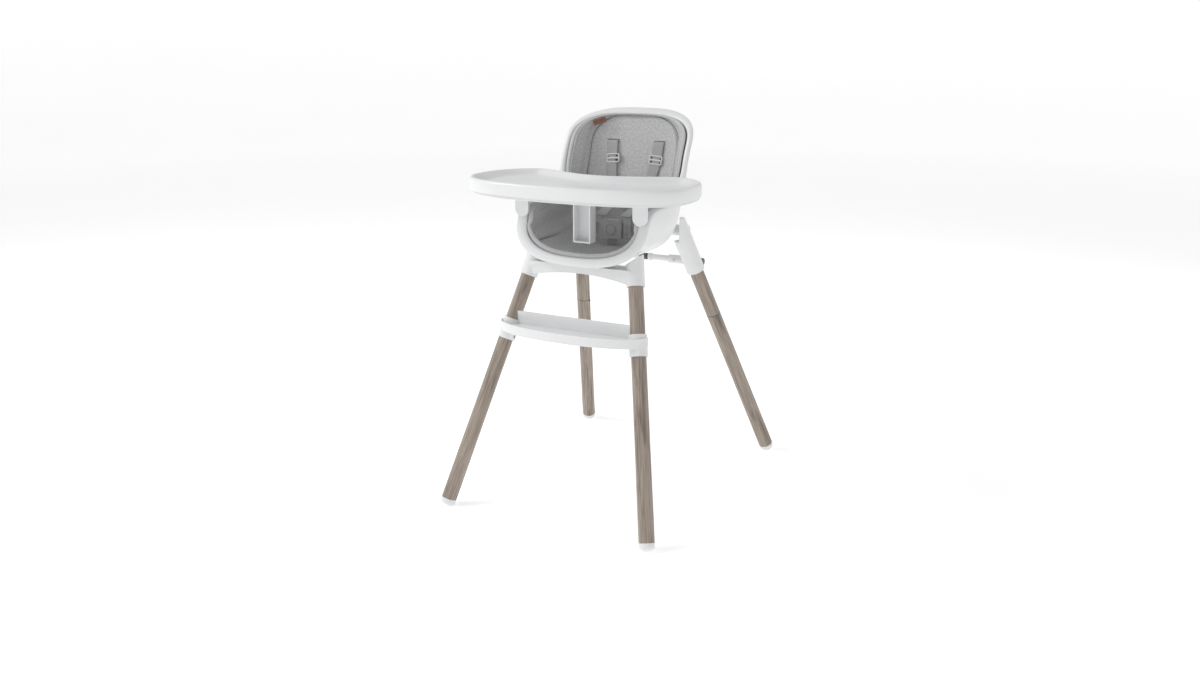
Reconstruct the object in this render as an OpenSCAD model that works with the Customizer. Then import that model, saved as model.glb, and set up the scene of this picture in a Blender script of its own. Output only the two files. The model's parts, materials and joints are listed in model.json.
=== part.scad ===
// Baby high chair: moulded tub seat with a lined pad and harness, a slide-off tray with
// a lift-off cover, a fixed front leg frame and a rear leg frame that folds forward.
// Millimetres. Origin on the floor under the middle of the stance, +Z up, front to -Y.

/* [Stance] */
// Distance between the front feet, centre to centre
front_stance_w = 558; // [500:1:640]
// Distance between the rear feet, centre to centre
rear_stance_w = 580; // [520:1:660]
// Distance from the front feet to the rear feet
stance_d = 760; // [680:1:900]
// Height of the underside of the seat shell
seat_base_z = 606; // [520:1:720]

/* [Legs] */
// Outer diameter of a leg tube
leg_d = 36; // [32:0.5:44]
// Wall of a leg tube
leg_wall = 3; // [2:0.1:4]
// Length of the spigot that joins an upper leg to a lower leg
spigot_len = 48; // [30:1:60]
// Height of the split in a front leg
front_split_z = 426; // [380:1:450]
// Height of the split in a rear leg
rear_split_z = 429; // [340:1:460]
// Wall of the sockets that hold the front legs
front_socket_wall = 4; // [3:0.1:6]
// Wall of the sockets that hold the rear legs
rear_socket_wall = 5.5; // [4:0.1:7]
// Radial gap between a leg and its socket
leg_gap = 0.1; // [0.05:0.01:0.3]
// Height of a foot cap along its leg
foot_h = 16; // [12:0.5:24]

/* [Seat shell] */
// Width of the seat shell over its side walls
seat_w = 356; // [330:1:430]
// Height of the backrest above the underside of the seat
back_h = 349; // [330:1:420]
// Distance from the front lip of the seat to the line of the backrest
seat_depth = 309.5; // [290:0.5:375]
// Lean of the backrest from the vertical
recline = 9.2; // [5:0.1:14]
// Radius of the bend between seat and backrest
bend_r = 110; // [90:1:125]
// Wall of the shell
shell_wall = 5; // [4:0.1:7]
// Width of the rolled rim
rim_w = 22; // [18:0.5:26]
// Height of the arm rests above the underside of the seat
arm_h = 138; // [130:1:166]

/* [Pad and harness] */
// Thickness of the seat pad
pad_t = 11; // [8:0.5:14]
// Gap between the pad and the shell
pad_gap = 1; // [0.5:0.1:2]
// Width of the harness webbing
web_w = 28; // [20:0.5:30]
// Thickness of the harness webbing
web_t = 1.6; // [1.2:0.1:2.4]
// Distance between the two shoulder straps at the backrest
shoulder_w = 130; // [110:1:150]
// Height of the shoulder slots above the underside of the seat
shoulder_h = 268; // [230:1:290]
// Width of the buckle
buckle_w = 58; // [46:1:66]

/* [Tray] */
// Overall width of the tray
tray_w = 576; // [520:1:680]
// Depth of the rim of the tray cover
tray_skirt = 29; // [24:0.5:34]
// Wall of the tray mouldings
tray_wall = 3; // [2.5:0.1:4]
// Width of the crotch post
post_w = 47; // [38:1:56]

/* [Footrest] */
// Height of the tread of the footrest
tread_z = 446; // [440:1:470]
// Depth of the tread in front of the leg sockets
tread_d = 70; // [50:1:80]

/* [Hidden] */
$fn = 48;
white = [0.93, 0.93, 0.93];
fabric_grey = [0.76, 0.76, 0.76];
web_grey = [0.7, 0.7, 0.7];
dark_grey = [0.3, 0.3, 0.31];
wood_grey = [0.66, 0.6, 0.53];
tan_brown = [0.45, 0.27, 0.2];

// ---------- helpers ----------
function lerp(a, b, t) = a + (b - a) * t;
function clamp01(t) = max(0, min(1, t));
function smooth(t) = let (c = clamp01(t)) c * c * (3 - 2 * c);
function bezier(p, t) = pow(1 - t, 3) * p[0] + 3 * t * pow(1 - t, 2) * p[1]
    + 3 * t * t * (1 - t) * p[2] + t * t * t * p[3];
function unit(v) = v / norm(v);
function between(a, b, z) = a + (b - a) * (z - a[2]) / (b[2] - a[2]);

// A cylinder from point a to point b
module rod(a, b, d, d2 = undef) {
    v = b - a;
    translate(a)
        rotate([0, acos(v[2] / norm(v)), atan2(v[1], v[0])])
            cylinder(h = norm(v), d1 = d, d2 = is_undef(d2) ? d : d2);
}

module mirrored(side) {
    mirror([side < 0 ? 1 : 0, 0, 0]) children();
}

// ---------- leg lines ----------
hip_z = seat_base_z + 34;
// Shift that puts the middle of the outline, foot caps included, over the origin
stance_shift = 1.08;
front_foot = [front_stance_w / 2, stance_shift - stance_d / 2, 0];
rear_foot = [rear_stance_w / 2, stance_shift + stance_d / 2, 0];
front_hip = [seat_w / 2 - 47.6, -158, hip_z];
rear_hip = [seat_w / 2 - 29.3, 80.2, hip_z];
front_socket_z = seat_base_z - 41;
front_socket_top_z = seat_base_z - 12;
rear_socket_z = seat_base_z - 53;
rear_collar_top_z = seat_base_z + 26;
rear_arm_top_z = seat_base_z + 88;
function front_leg(z) = between(front_foot, front_hip, z);
function rear_leg(z) = between(rear_foot, rear_hip, z);
leg_bore = leg_d - 2 * leg_wall;
spigot_d = leg_bore - 0.2;
front_socket_d = leg_d + 2 * leg_gap + 2 * front_socket_wall;
rear_socket_d = leg_d + 2 * leg_gap + 2 * rear_socket_wall;

// ---------- shape of the seat tub ----------
front_y = -220;
heel_y = front_y + seat_depth;
arc_turn = 90 - recline;
tangent_len = bend_r * tan(arc_turn / 2);
arc_y = heel_y - tangent_len;
arc_z = seat_base_z + bend_r;
arc_len = bend_r * arc_turn * PI / 180;
flat_len = arc_y - front_y;
back_len = back_h / cos(recline) - tangent_len;
spine_len = flat_len + arc_len + back_len;
top_z = seat_base_z + back_h;
top_y = heel_y + back_h * tan(recline);
wing_start_z = seat_base_z + 194;
shoulder_round_z = top_z - 85;
inner_top_z = top_z - 15;
half_w = seat_w / 2;
section_n = 20;

// Point of the outer centre line, l millimetres back from the front lip, as [y, z]
function spine(l) =
    l < flat_len ? [front_y + l, seat_base_z]
    : l < flat_len + arc_len ?
        let (a = (l - flat_len) / bend_r * 180 / PI)
        [arc_y + bend_r * sin(a), seat_base_z + bend_r * (1 - cos(a))]
    : let (b = l - flat_len - arc_len + tangent_len)
        [heel_y + b * sin(recline), seat_base_z + b * cos(recline)];

// Rim line in three arcs: front corner (0 to 1), arm rest (1 to 2), wing (2 to 3)
arm_z = seat_base_z + arm_h;
rim_front = [[front_y + 44, arm_z - 32], [front_y + 54, arm_z - 8], [front_y + 70, arm_z - 3],
    [front_y + 100, arm_z]];
rim_arm = [[front_y + 100, arm_z], [heel_y - 149.5, arm_z - 2], [heel_y - 89.5, arm_z + 6],
    [heel_y - 69.5, wing_start_z]];
rim_wing = [[heel_y - 69.5, wing_start_z], [heel_y - 57.5, wing_start_z + 35],
    [top_y - 96, top_z - 30], [top_y, top_z]];
function rim(q) = q < 1 ? bezier(rim_front, q) : q < 2 ? bezier(rim_arm, q - 1) : bezier(rim_wing, q - 2);

// Length along the spine that goes with a place q on the rim
front_link = 60;
back_link = flat_len + arc_len + 48;
function spine_at(q) = q < 1 ? lerp(0, front_link, q)
    : q < 2 ? lerp(front_link, back_link, q - 1)
    : lerp(back_link, spine_len, q - 2);

// Half width of the outline whose top is at height top, for a rim height z
function outline_w(w, z, top) =
    let (k = clamp01((z - shoulder_round_z) / (top - shoulder_round_z)))
    w * pow(max(0, 1 - pow(k, 3)), 1 / 3);

// Squareness of the section: 2 is an ellipse
function squareness(q) = lerp(2.6, 4, smooth((q - 1.9) / 0.6));

// Share by which the section narrows from its open side to its back
function narrowing(q) = 0.24 * smooth((q - 1.4) / 0.5);

// Wall at a place: thick along the front lip and along the rim, thin elsewhere
function wall_at(l, a, front_t) =
    let (front = 1 - smooth(l / 30), edge = smooth((a - 62) / 20))
    lerp(shell_wall, front_t, max(front, edge));

// One point of a tub surface: q along the rim, a from 0 at the spine to 90 at the rim,
// side -1 or 1, t the distance in from the outer surface, top the height it closes at
function tub_point(q, a, side, t_floor, t_side, top) =
    let (
        c2 = spine(spine_at(q)), r2 = rim(q), span = norm(r2 - c2),
        d = span > 0.01 ? (r2 - c2) / span : [0, 1],
        n = squareness(q),
        w = max(0, outline_w(half_w - t_side, r2[1], top)),
        tf = min(t_floor, 0.8 * span),
        rise = 1 - pow(max(0, cos(a)), 2 / n),
        p = c2 + d * (tf + (span - tf) * rise)
    )
    [side * w * (1 - narrowing(q) * (1 - rise)) * pow(sin(a), 2 / n), p[0], p[1]];

function shell_outer(q, a, side) = tub_point(q, a, side, 0, 0, top_z);
function lip_w(l) = rim_w + 5 * max(0, 1 - l / 30);
function shell_inner(q, a, side) =
    let (l = spine_at(q))
    tub_point(q, a, side, wall_at(l, a, rim_w), wall_at(l, a, lip_w(l)), inner_top_z);

// Solid between two tub surfaces: outer stations qo, inner stations qi (same count),
// angles from the spine up to a_max. The last outer station is a point if point_top.
function station_angles(a_max) = [for (i = [-section_n:section_n]) a_max * i / section_n];
module tub_solid(qo, qi, a_max, outer, inner, point_top) {
    m = 2 * section_n + 1;
    n = len(qo);
    angles = station_angles(a_max);
    outer_pts = [for (q = qo) for (a = angles) outer(q, abs(a), sign(a))];
    inner_pts = [for (q = qi) for (a = angles) inner(q, abs(a), sign(a))];
    base = n * m;
    // the last station folds onto the centre plane, so its two halves share points
    function o(i, j) = i < n - 1 || !point_top ? i * m + j : i * m;
    function u(i, j) = base + (i < n - 1 || !point_top ? i * m + j : i * m + min(j, m - 1 - j));
    faces = [
        for (i = [0:n - 2]) for (j = [0:m - 2])
            for (f = [[o(i, j), o(i, j + 1), o(i + 1, j + 1)], [o(i, j), o(i + 1, j + 1), o(i + 1, j)]]) f,
        for (i = [0:n - 2]) for (j = [0:m - 2])
            for (f = [[u(i, j + 1), u(i, j), u(i + 1, j + 1)], [u(i + 1, j + 1), u(i, j), u(i + 1, j)]]) f,
        for (j = [0:m - 2])
            for (f = [[o(0, j + 1), o(0, j), u(0, j)], [o(0, j + 1), u(0, j), u(0, j + 1)]]) f,
        for (i = [0:n - 2])
            for (f = [[o(i, 0), o(i + 1, 0), u(i + 1, 0)], [o(i, 0), u(i + 1, 0), u(i, 0)]]) f,
        for (i = [0:n - 2])
            for (f = [[o(i + 1, m - 1), o(i, m - 1), u(i, m - 1)],
                [o(i + 1, m - 1), u(i, m - 1), u(i + 1, m - 1)]]) f,
        if (!point_top) for (j = [0:m - 2])
            for (f = [[o(n - 1, j), o(n - 1, j + 1), u(n - 1, j + 1)],
                [o(n - 1, j), u(n - 1, j + 1), u(n - 1, j)]]) f
    ];
    keep = [for (f = faces) if (f[0] != f[1] && f[1] != f[2] && f[0] != f[2]) f];
    polyhedron(points = concat(outer_pts, inner_pts), faces = keep);
}

// Rim place whose height is z, found by halving
function rim_q(z, lo = 2, hi = 3, i = 0) = i > 24 ? (lo + hi) / 2
    : let (mid = (lo + hi) / 2) rim(mid)[1] < z ? rim_q(z, mid, hi, i + 1) : rim_q(z, lo, mid, i + 1);
stations = concat([0, 0.08, 0.16, 0.25, 0.4, 0.55], [for (q = [0.75:0.125:2.5]) q],
    [2.6, 2.7, 2.78, 2.85, 2.9, 2.94, 2.97, 2.985, 3]);
inner_q_top = rim_q(inner_top_z);
function to_inner(q, top) = q < 2 ? q : lerp(2, top, q - 2);

module seat_shell() {
    color(white)
        difference() {
            tub_solid(stations, [for (q = stations) to_inner(q, inner_q_top)], 90,
                function(q, a, s) shell_outer(q, a, s), function(q, a, s) shell_inner(q, a, s), true);
            shoulder_slots(shoulder_slot_clear);
        }
}

// ---------- pad ----------
pad_start_q = 0.16;
pad_top_z = inner_top_z - 4;
pad_q_top = rim_q(pad_top_z);
shoulder_slot_clear = 6;
function pad_point(q, a, side, t) =
    let (l = spine_at(q), depth = pad_gap + t)
    tub_point(q, a, side, wall_at(l, a, rim_w) + depth, wall_at(l, a, lip_w(l)) + depth, pad_top_z);
pad_stations = [for (q = stations) if (q >= pad_start_q) q];
module seat_pad() {
    color(fabric_grey)
        difference() {
            tub_solid(pad_stations, pad_stations, 80,
                function(q, a, s) pad_point(to_inner(q, pad_q_top), a, s, 0),
                function(q, a, s) pad_point(to_inner(q, pad_q_top), a, s, pad_t), true);
            shoulder_slots(shoulder_slot_clear);
        }
}

// ---------- harness ----------
slot_z = seat_base_z + shoulder_h;
strap_clear = 9;
back_front_y = heel_y + (slot_z - seat_base_z) * tan(recline) - shell_wall - pad_gap - pad_t - strap_clear;
slot = [shoulder_w / 2, back_front_y, slot_z];
buckle_c = [0, -20, seat_base_z + 61];
buckle_h = 48;
buckle_t = 18;
module shoulder_slots(clear) {
    for (s = [-1, 1])
        translate([s * slot[0] - (web_w + clear) / 2, slot[1] - 30, slot[2] - 4])
            cube([web_w + clear, 70, 8]);
}
// Places its children at point p with +Z along v and +X kept crosswise of the seat
module along(p, v) {
    translate(p) rotate([atan2(-v[1], v[2]), 0, 0]) rotate([0, asin(v[0] / norm(v)), 0]) children();
}
tongue_w = 22;
tongue_low_z = buckle_c[2] - 22;
tongue_top_z = buckle_c[2] + 30;
strap_knee_z = seat_base_z + 132;
strap_knee = [52, slot[1] - (slot_z - strap_knee_z) * tan(recline) - 2, strap_knee_z];
strap_end = [34, buckle_c[1], tongue_top_z + 2.5];
strap_v = strap_knee - slot;
module webbing(a, b) {
    along(a, b - a) translate([-web_w / 2, -web_t / 2, 0]) cube([web_w, web_t, norm(b - a)]);
}
// Down the backrest, then forward to the tongue of the buckle
module shoulder_strap() {
    webbing(slot + unit(strap_v) * 3, strap_knee + unit(strap_v));
    webbing(strap_knee, strap_end);
}
module shoulder_strap_left() { color(web_grey) mirrored(-1) shoulder_strap(); }
module shoulder_strap_right() { color(web_grey) shoulder_strap(); }

adjuster_len = 24;
adjuster_bar = 4.5;
adjuster_t = 3.2;
adjuster_play = 0.5;
module adjuster() {
    w = web_w + 2 * adjuster_bar + 2;
    t = web_t + 2 * adjuster_play;
    along(slot + unit(strap_v) * 34, strap_v)
        difference() {
            translate([-w / 2, -adjuster_t - t / 2, 0]) cube([w, 2 * adjuster_t + t, adjuster_len]);
            translate([-web_w / 2 - 1, -t / 2, -1]) cube([web_w + 2, t, adjuster_len + 2]);
            for (z = [adjuster_bar, adjuster_len / 2 + adjuster_bar / 2])
                translate([-web_w / 2 - 1, -adjuster_t - t, z])
                    cube([web_w + 2, adjuster_t + t, (adjuster_len - 3 * adjuster_bar) / 2]);
        }
}
module strap_adjuster_left() { color(web_grey) mirrored(-1) adjuster(); }
module strap_adjuster_right() { color(web_grey) adjuster(); }

tongue_t = 4;
module tongue() {
    difference() {
        translate([buckle_w / 2 + 0.6, buckle_c[1] - tongue_t / 2, tongue_low_z])
            cube([tongue_w, tongue_t, tongue_top_z - tongue_low_z]);
        translate([buckle_w / 2 + 10, buckle_c[1] - tongue_t, buckle_c[2] - 15]) cube([6, 2 * tongue_t, 28]);
    }
}
module buckle_tongue_left() { color(web_grey) mirrored(-1) tongue(); }
module buckle_tongue_right() { color(web_grey) tongue(); }
module waist_strap() {
    a = [buckle_w / 2 + tongue_w + 1.2, buckle_c[1], buckle_c[2] - 1];
    b = [half_w - 76, 22, buckle_c[2] + 1];
    v = b - a;
    translate(a) rotate([0, 0, atan2(v[1], v[0])]) translate([0, -web_t / 2, -web_w / 2])
        cube([norm(v), web_t, web_w]);
}
module waist_strap_left() { color(web_grey) mirrored(-1) waist_strap(); }
module waist_strap_right() { color(web_grey) waist_strap(); }

button_d = 24.6;
button_travel = 3;
module buckle_body() {
    color(web_grey)
        difference() {
            hull()
                for (x = [-1, 1]) for (z = [-1, 1])
                    translate([x * (buckle_w / 2 - 8), buckle_c[1] + buckle_t / 2, buckle_c[2] + z * (buckle_h / 2 - 8)])
                        rotate([90, 0, 0]) cylinder(r = 8, h = buckle_t, $fn = 32);
            translate([0, buckle_c[1] - buckle_t / 2 + 8, buckle_c[2]]) rotate([90, 0, 0])
                cylinder(d = button_d + 0.8, h = 20);
        }
}
module buckle_button() {
    color(web_grey)
        translate([0, buckle_c[1] - buckle_t / 2 + 8 - button_travel - 0.6, buckle_c[2]]) rotate([90, 0, 0])
            cylinder(d = button_d, h = 7);
}
crotch_top_z = buckle_c[2] - buckle_h / 2 - 0.4;
crotch_low_z = seat_base_z + shell_wall + pad_gap + pad_t + 1.5;
module crotch_strap() {
    color(web_grey)
        translate([-web_w / 2, buckle_c[1] - web_t / 2, crotch_low_z])
            cube([web_w, web_t, crotch_top_z - crotch_low_z]);
}

tag_w = 34;
tag_h = 13;
tag_t = 1.6;
tag_x = -110;
tag_z = top_z - 42;
tag_yaw = 17;
tag_tilt = -12;
module pad_tag() {
    back_y = heel_y + (tag_z - seat_base_z) * tan(recline) - shell_wall - pad_gap - pad_t;
    color(tan_brown)
        translate([tag_x, back_y - 36, tag_z]) rotate([0, 0, tag_yaw]) rotate([-recline, 0, 0])
            rotate([0, tag_tilt, 0]) cube([tag_w, tag_t, tag_h]);
}

// ---------- tray ----------
tray_mid_y = -180;
tray_front_d = 150;
tray_back_d = 183;
tray_square = 2.57;
tray_dip = 95;
tray_dip_w = 210;
tray_low_z = seat_base_z + arm_h + 33;
tray_rim_z = tray_low_z + tray_skirt + 3;
tray_floor_z = tray_rim_z - 16;
tray_half = tray_w / 2;
function tray_dip_at(x) = tray_dip * pow(max(0, 1 - pow(x / tray_dip_w, 2)), 1.5);
// Outline of the tray: superellipse with its back edge pulled in round the child
function tray_edge(a) =
    let (c = cos(a), s = sin(a),
        x = tray_half * sign(c) * pow(abs(c), 2 / tray_square),
        y = sign(s) * (s > 0 ? tray_back_d : tray_front_d) * pow(abs(s), 2 / tray_square))
    [x, tray_mid_y + y - (s > 0 ? tray_dip_at(x) : 0)];
tray_steps = 96;
tray_ring = [for (i = [0:tray_steps - 1]) tray_edge(360 * (i + 0.5) / tray_steps)];
// The outline moved inwards by d along its own normals
function tray_inset(d) = [for (i = [0:tray_steps - 1])
    let (a = tray_ring[(i + tray_steps - 1) % tray_steps], b = tray_ring[(i + 1) % tray_steps], v = unit(b - a))
    tray_ring[i] + d * [-v[1], v[0]]];

module tray_prism(inset, z0, z1) {
    translate([0, 0, z0]) linear_extrude(z1 - z0) polygon(tray_inset(inset));
}
cover_gap = 1.2;
module tray_cover() {
    color(white)
        difference() {
            tray_prism(0, tray_low_z, tray_rim_z);
            tray_prism(15, tray_floor_z, tray_rim_z + 1);
            tray_prism(tray_wall, tray_low_z - 1, tray_floor_z - tray_wall);
        }
}

base_top_z = tray_floor_z - tray_wall - cover_gap;
base_low_z = tray_low_z - 6;
post_low_z = seat_base_z + 50;
post_y0 = -180;
post_d = 28;
post_wall = 4;
arm_front_y = -192;
arm_front_t = 8;
arm_low_z = seat_base_z + 104;
arm_in_x = half_w - rim_w - 15;
arm_w = 37;
module tray_arm() {
    // hook that stands in front of the corner of the rim, round at its lower end
    translate([arm_in_x, arm_front_y, arm_low_z + arm_w / 2])
        cube([arm_w, arm_front_t, base_top_z - 1 - arm_low_z - arm_w / 2]);
    translate([arm_in_x + arm_w / 2, arm_front_y + arm_front_t, arm_low_z + arm_w / 2])
        rotate([90, 0, 0]) cylinder(d = arm_w, h = arm_front_t);
    // guide rib above the arm rest
    translate([arm_in_x, arm_front_y, arm_z + 12])
        cube([6, 110, base_top_z - arm_z - 13]);
}
module tray_base() {
    color(white)
        union() {
            difference() {
                tray_prism(tray_wall + cover_gap, base_low_z, base_top_z);
                tray_prism(2 * tray_wall + cover_gap, base_low_z - 1, base_top_z - tray_wall);
            }
            mirrored(1) tray_arm();
            mirrored(-1) tray_arm();
            difference() {
                translate([-post_w / 2, post_y0, post_low_z]) cube([post_w, post_d, base_top_z - 1 - post_low_z]);
                translate([-post_w / 2 + post_wall, post_y0 - 1, post_low_z + post_wall])
                    cube([post_w - 2 * post_wall, post_d - post_wall + 1, base_top_z - 2 - tray_wall - post_low_z - post_wall]);
            }
        }
}

lever_w = 90;
lever_travel = 8;
lever_y = tray_mid_y - tray_front_d + 2 * tray_wall + cover_gap + lever_travel + 4;
latch_gap = 0.6;
module tray_release_lever() {
    color(white)
        translate([-lever_w / 2, lever_y, base_low_z - 2]) difference() {
            cube([lever_w, 30, base_top_z - tray_wall - 2 - base_low_z]);
            translate([6, 8, -1]) cube([lever_w - 12, 16, 8]);
        }
}
latch_in_x = 62;
latch_y = -140;
latch_out_x = arm_in_x - latch_gap;
module tray_latch() {
    translate([latch_in_x, latch_y, base_low_z + 2]) cube([latch_out_x - latch_in_x, 18, base_top_z - tray_wall - base_low_z - 3]);
}
module tray_latch_left() { color(dark_grey) mirrored(-1) tray_latch(); }
module tray_latch_right() { color(dark_grey) tray_latch(); }

// ---------- front frame ----------
// Web under the seat between the two front sockets, arched along its lower edge
web_top_z = seat_base_z - 2;
web_front_y = -196;
web_d = 52;
arch_h = 17;
arch_half = front_leg(front_socket_z)[0] - 8;
arch_low_z = seat_base_z - 38;
// The sockets end on a slope that clears the round corner of the shell
module socket_slope() {
    for (s = [-1, 1]) mirrored(s)
        translate([0, -400, 0]) rotate([90, 0, 180]) mirror([1, 0, 0])
            linear_extrude(500)
                polygon([[0, web_top_z], [half_w - 74, web_top_z], [half_w - 3, seat_base_z + 48],
                    [half_w + 100, seat_base_z + 48], [half_w + 100, seat_base_z + 300], [0, seat_base_z + 300]]);
}
module front_socket_body() {
    rod(front_leg(front_socket_z), front_leg(hip_z + 20), front_socket_d);
}
module front_socket_bore() {
    rod(front_leg(front_socket_z - 10), front_leg(front_socket_top_z), leg_d + 2 * leg_gap);
}
module front_frame() {
    arch_r = (arch_half * arch_half + arch_h * arch_h) / (2 * arch_h);
    color(white)
        difference() {
            union() {
                for (s = [-1, 1]) mirrored(s) front_socket_body();
                difference() {
                    translate([-arch_half, web_front_y, arch_low_z])
                        cube([2 * arch_half, web_d, web_top_z - arch_low_z]);
                    translate([0, web_front_y - 1, arch_low_z + arch_h - arch_r]) rotate([-90, 0, 0])
                        cylinder(r = arch_r, h = web_d + 2, $fn = 200);
                }
            }
            for (s = [-1, 1]) mirrored(s) front_socket_bore();
            socket_slope();
            for (s = [-1, 1])
                translate([s * screw_x, screw_y, arch_low_z - 1]) cylinder(d = screw_d + 0.6, h = 80);
        }
}
screw_x = 60;
screw_y = -165;
screw_d = 6;
screw_head_d = 11;
screw_head_h = 4;
rear_screw_z = seat_base_z + 88;
rear_screw_x = 34;
module seat_screws() {
    color([0.75, 0.75, 0.76]) {
        for (s = [-1, 1]) {
            translate([s * screw_x, screw_y, screw_low_z - screw_head_h]) cylinder(d = screw_head_d, h = screw_head_h);
            translate([s * screw_x, screw_y, screw_low_z]) cylinder(d = screw_d, h = seat_base_z + 4 - screw_low_z);
        }
        for (s = [-1, 1]) {
            translate([s * rear_screw_x, bracket_out_y + 0.2, rear_screw_z]) rotate([-90, 0, 0])
                cylinder(d = screw_head_d, h = screw_head_h);
            translate([s * rear_screw_x, bracket_out_y - 21, rear_screw_z]) rotate([-90, 0, 0])
                cylinder(d = screw_d, h = 21.3);
        }
    }
}
// Lowest point of the arch over the width of a screw head
screw_low_z = arch_low_z + arch_h * (1 - pow((screw_x + screw_head_d / 2) / arch_half, 2)) - 0.2;

// ---------- legs ----------
leg_dir_f = unit(front_hip - front_foot);
leg_dir_r = unit(rear_hip - rear_foot);
foot_flat = 1.5;
foot_round = 8;
// Base of a foot cap, set so that its rounded edge is cut flat at the floor
function foot_base(foot, dir) =
    let (tilt = acos(dir[2]),
        base_z = foot_round + (leg_d / 2 + 1 - foot_round) * sin(tilt) - foot_round * cos(tilt) - foot_flat)
    foot + dir * (base_z / dir[2]);
plug_d = 22;
plug_len = 18;
snap_d = 7;
snap_drop = 10;
snap_reach = 1.8;
function snap_centre(leg_split, dir) = leg_split - dir * snap_drop;
module snap_button(c, face) {
    color(dark_grey)
        translate(c) rotate([0, face * 90, 0])
            translate([0, 0, leg_d / 2 + snap_reach - 9]) cylinder(d = snap_d, h = 9);
}
front_split = front_leg(front_split_z);
rear_split = rear_leg(rear_split_z);
front_leg_top = front_leg(front_socket_top_z - 2);
rear_leg_top = rear_leg(rear_socket_z + 62);
front_snap = snap_centre(front_split, leg_dir_f);
rear_snap = snap_centre(rear_split, leg_dir_r);
module snap_hole_at(c, face) { translate(c) rotate([0, face * 90, 0]) cylinder(d = snap_d + 0.8, h = leg_d); }

module leg_upper_piece(top, split, dir, snap, face) {
    color(wood_grey)
        difference() {
            union() {
                rod(split, top, leg_d);
                rod(split - dir * spigot_len, split + dir * 2, spigot_d);
            }
            rod(split - dir * (spigot_len + 1), top + dir, spigot_d - 2 * leg_wall);
            snap_hole_at(snap, face);
        }
}
module leg_lower_piece(split, foot, dir, snap, face) {
    low = foot_base(foot, dir) + dir * foot_h;
    v = split - low;
    color(wood_grey)
        difference() {
            translate(low) rotate([0, acos(v[2] / norm(v)), atan2(v[1], v[0])])
                hull() {
                    rotate([0, 0, 22.5]) cylinder(d = leg_d / cos(22.5) * 0.985, h = 1, $fn = 8);
                    translate([0, 0, norm(v) - 0.4 - 90]) cylinder(d = leg_d, h = 90, $fn = 32);
                }
            rod(split - dir * (spigot_len + 4), split + dir, leg_bore);
            rod(low - dir, low + dir * (plug_len + 1), plug_d + 0.2);
            snap_hole_at(snap, face);
        }
}
module foot_cap(foot, dir) {
    b = foot_base(foot, dir);
    r = leg_d / 2 + 1;
    difference() {
        translate(b) rotate([0, acos(dir[2]), atan2(dir[1], dir[0])]) {
            rotate_extrude()
                union() {
                    square([r - foot_round, foot_h - 0.2]);
                    translate([0, foot_round]) square([r, foot_h - foot_round - 0.2]);
                    intersection() {
                        translate([r - foot_round, foot_round]) circle(r = foot_round);
                        square([r, foot_round]);
                    }
                }
            cylinder(d = plug_d, h = foot_h + plug_len);
        }
        translate([-1000, -1000, -50]) cube([2000, 2000, 50]);
    }
}
module front_upper_leg_left() { mirrored(-1) leg_upper_piece(front_leg_top, front_split, leg_dir_f, front_snap, -1); }
module front_upper_leg_right() { leg_upper_piece(front_leg_top, front_split, leg_dir_f, front_snap, -1); }
module front_lower_leg_left() { mirrored(-1) leg_lower_piece(front_split, front_foot, leg_dir_f, front_snap, -1); }
module front_lower_leg_right() { leg_lower_piece(front_split, front_foot, leg_dir_f, front_snap, -1); }
module rear_upper_leg_left() { mirrored(-1) leg_upper_piece(rear_leg_top, rear_split, leg_dir_r, rear_snap, -1); }
module rear_upper_leg_right() { leg_upper_piece(rear_leg_top, rear_split, leg_dir_r, rear_snap, -1); }
module rear_lower_leg_left() { mirrored(-1) leg_lower_piece(rear_split, rear_foot, leg_dir_r, rear_snap, -1); }
module rear_lower_leg_right() { leg_lower_piece(rear_split, rear_foot, leg_dir_r, rear_snap, -1); }
module front_foot_caps() { color(white) for (s = [-1, 1]) mirrored(s) foot_cap(front_foot, leg_dir_f); }
module rear_foot_caps() { color(white) for (s = [-1, 1]) mirrored(s) foot_cap(rear_foot, leg_dir_r); }
module snap_button_front_left() { mirrored(-1) snap_button(front_snap, -1); }
module snap_button_front_right() { snap_button(front_snap, -1); }
module snap_button_rear_left() { mirrored(-1) snap_button(rear_snap, -1); }
module snap_button_rear_right() { snap_button(rear_snap, -1); }

// ---------- footrest ----------
collar_wall = 4;
collar_d = leg_d + 2 * leg_gap + 2 * collar_wall;
collar_low_z = front_split_z - 14;
collar_high_z = tread_z + 14;
tread_t = 4;
skirt_low_z = tread_z - 11;
skirt_high_z = tread_z + 12;
rest_back_y = front_leg(tread_z)[1] + 2;
rest_half = front_leg(tread_z)[0] + collar_d / 2 + 3;
rest_steps = 40;
rest_round = 0.95;
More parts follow.
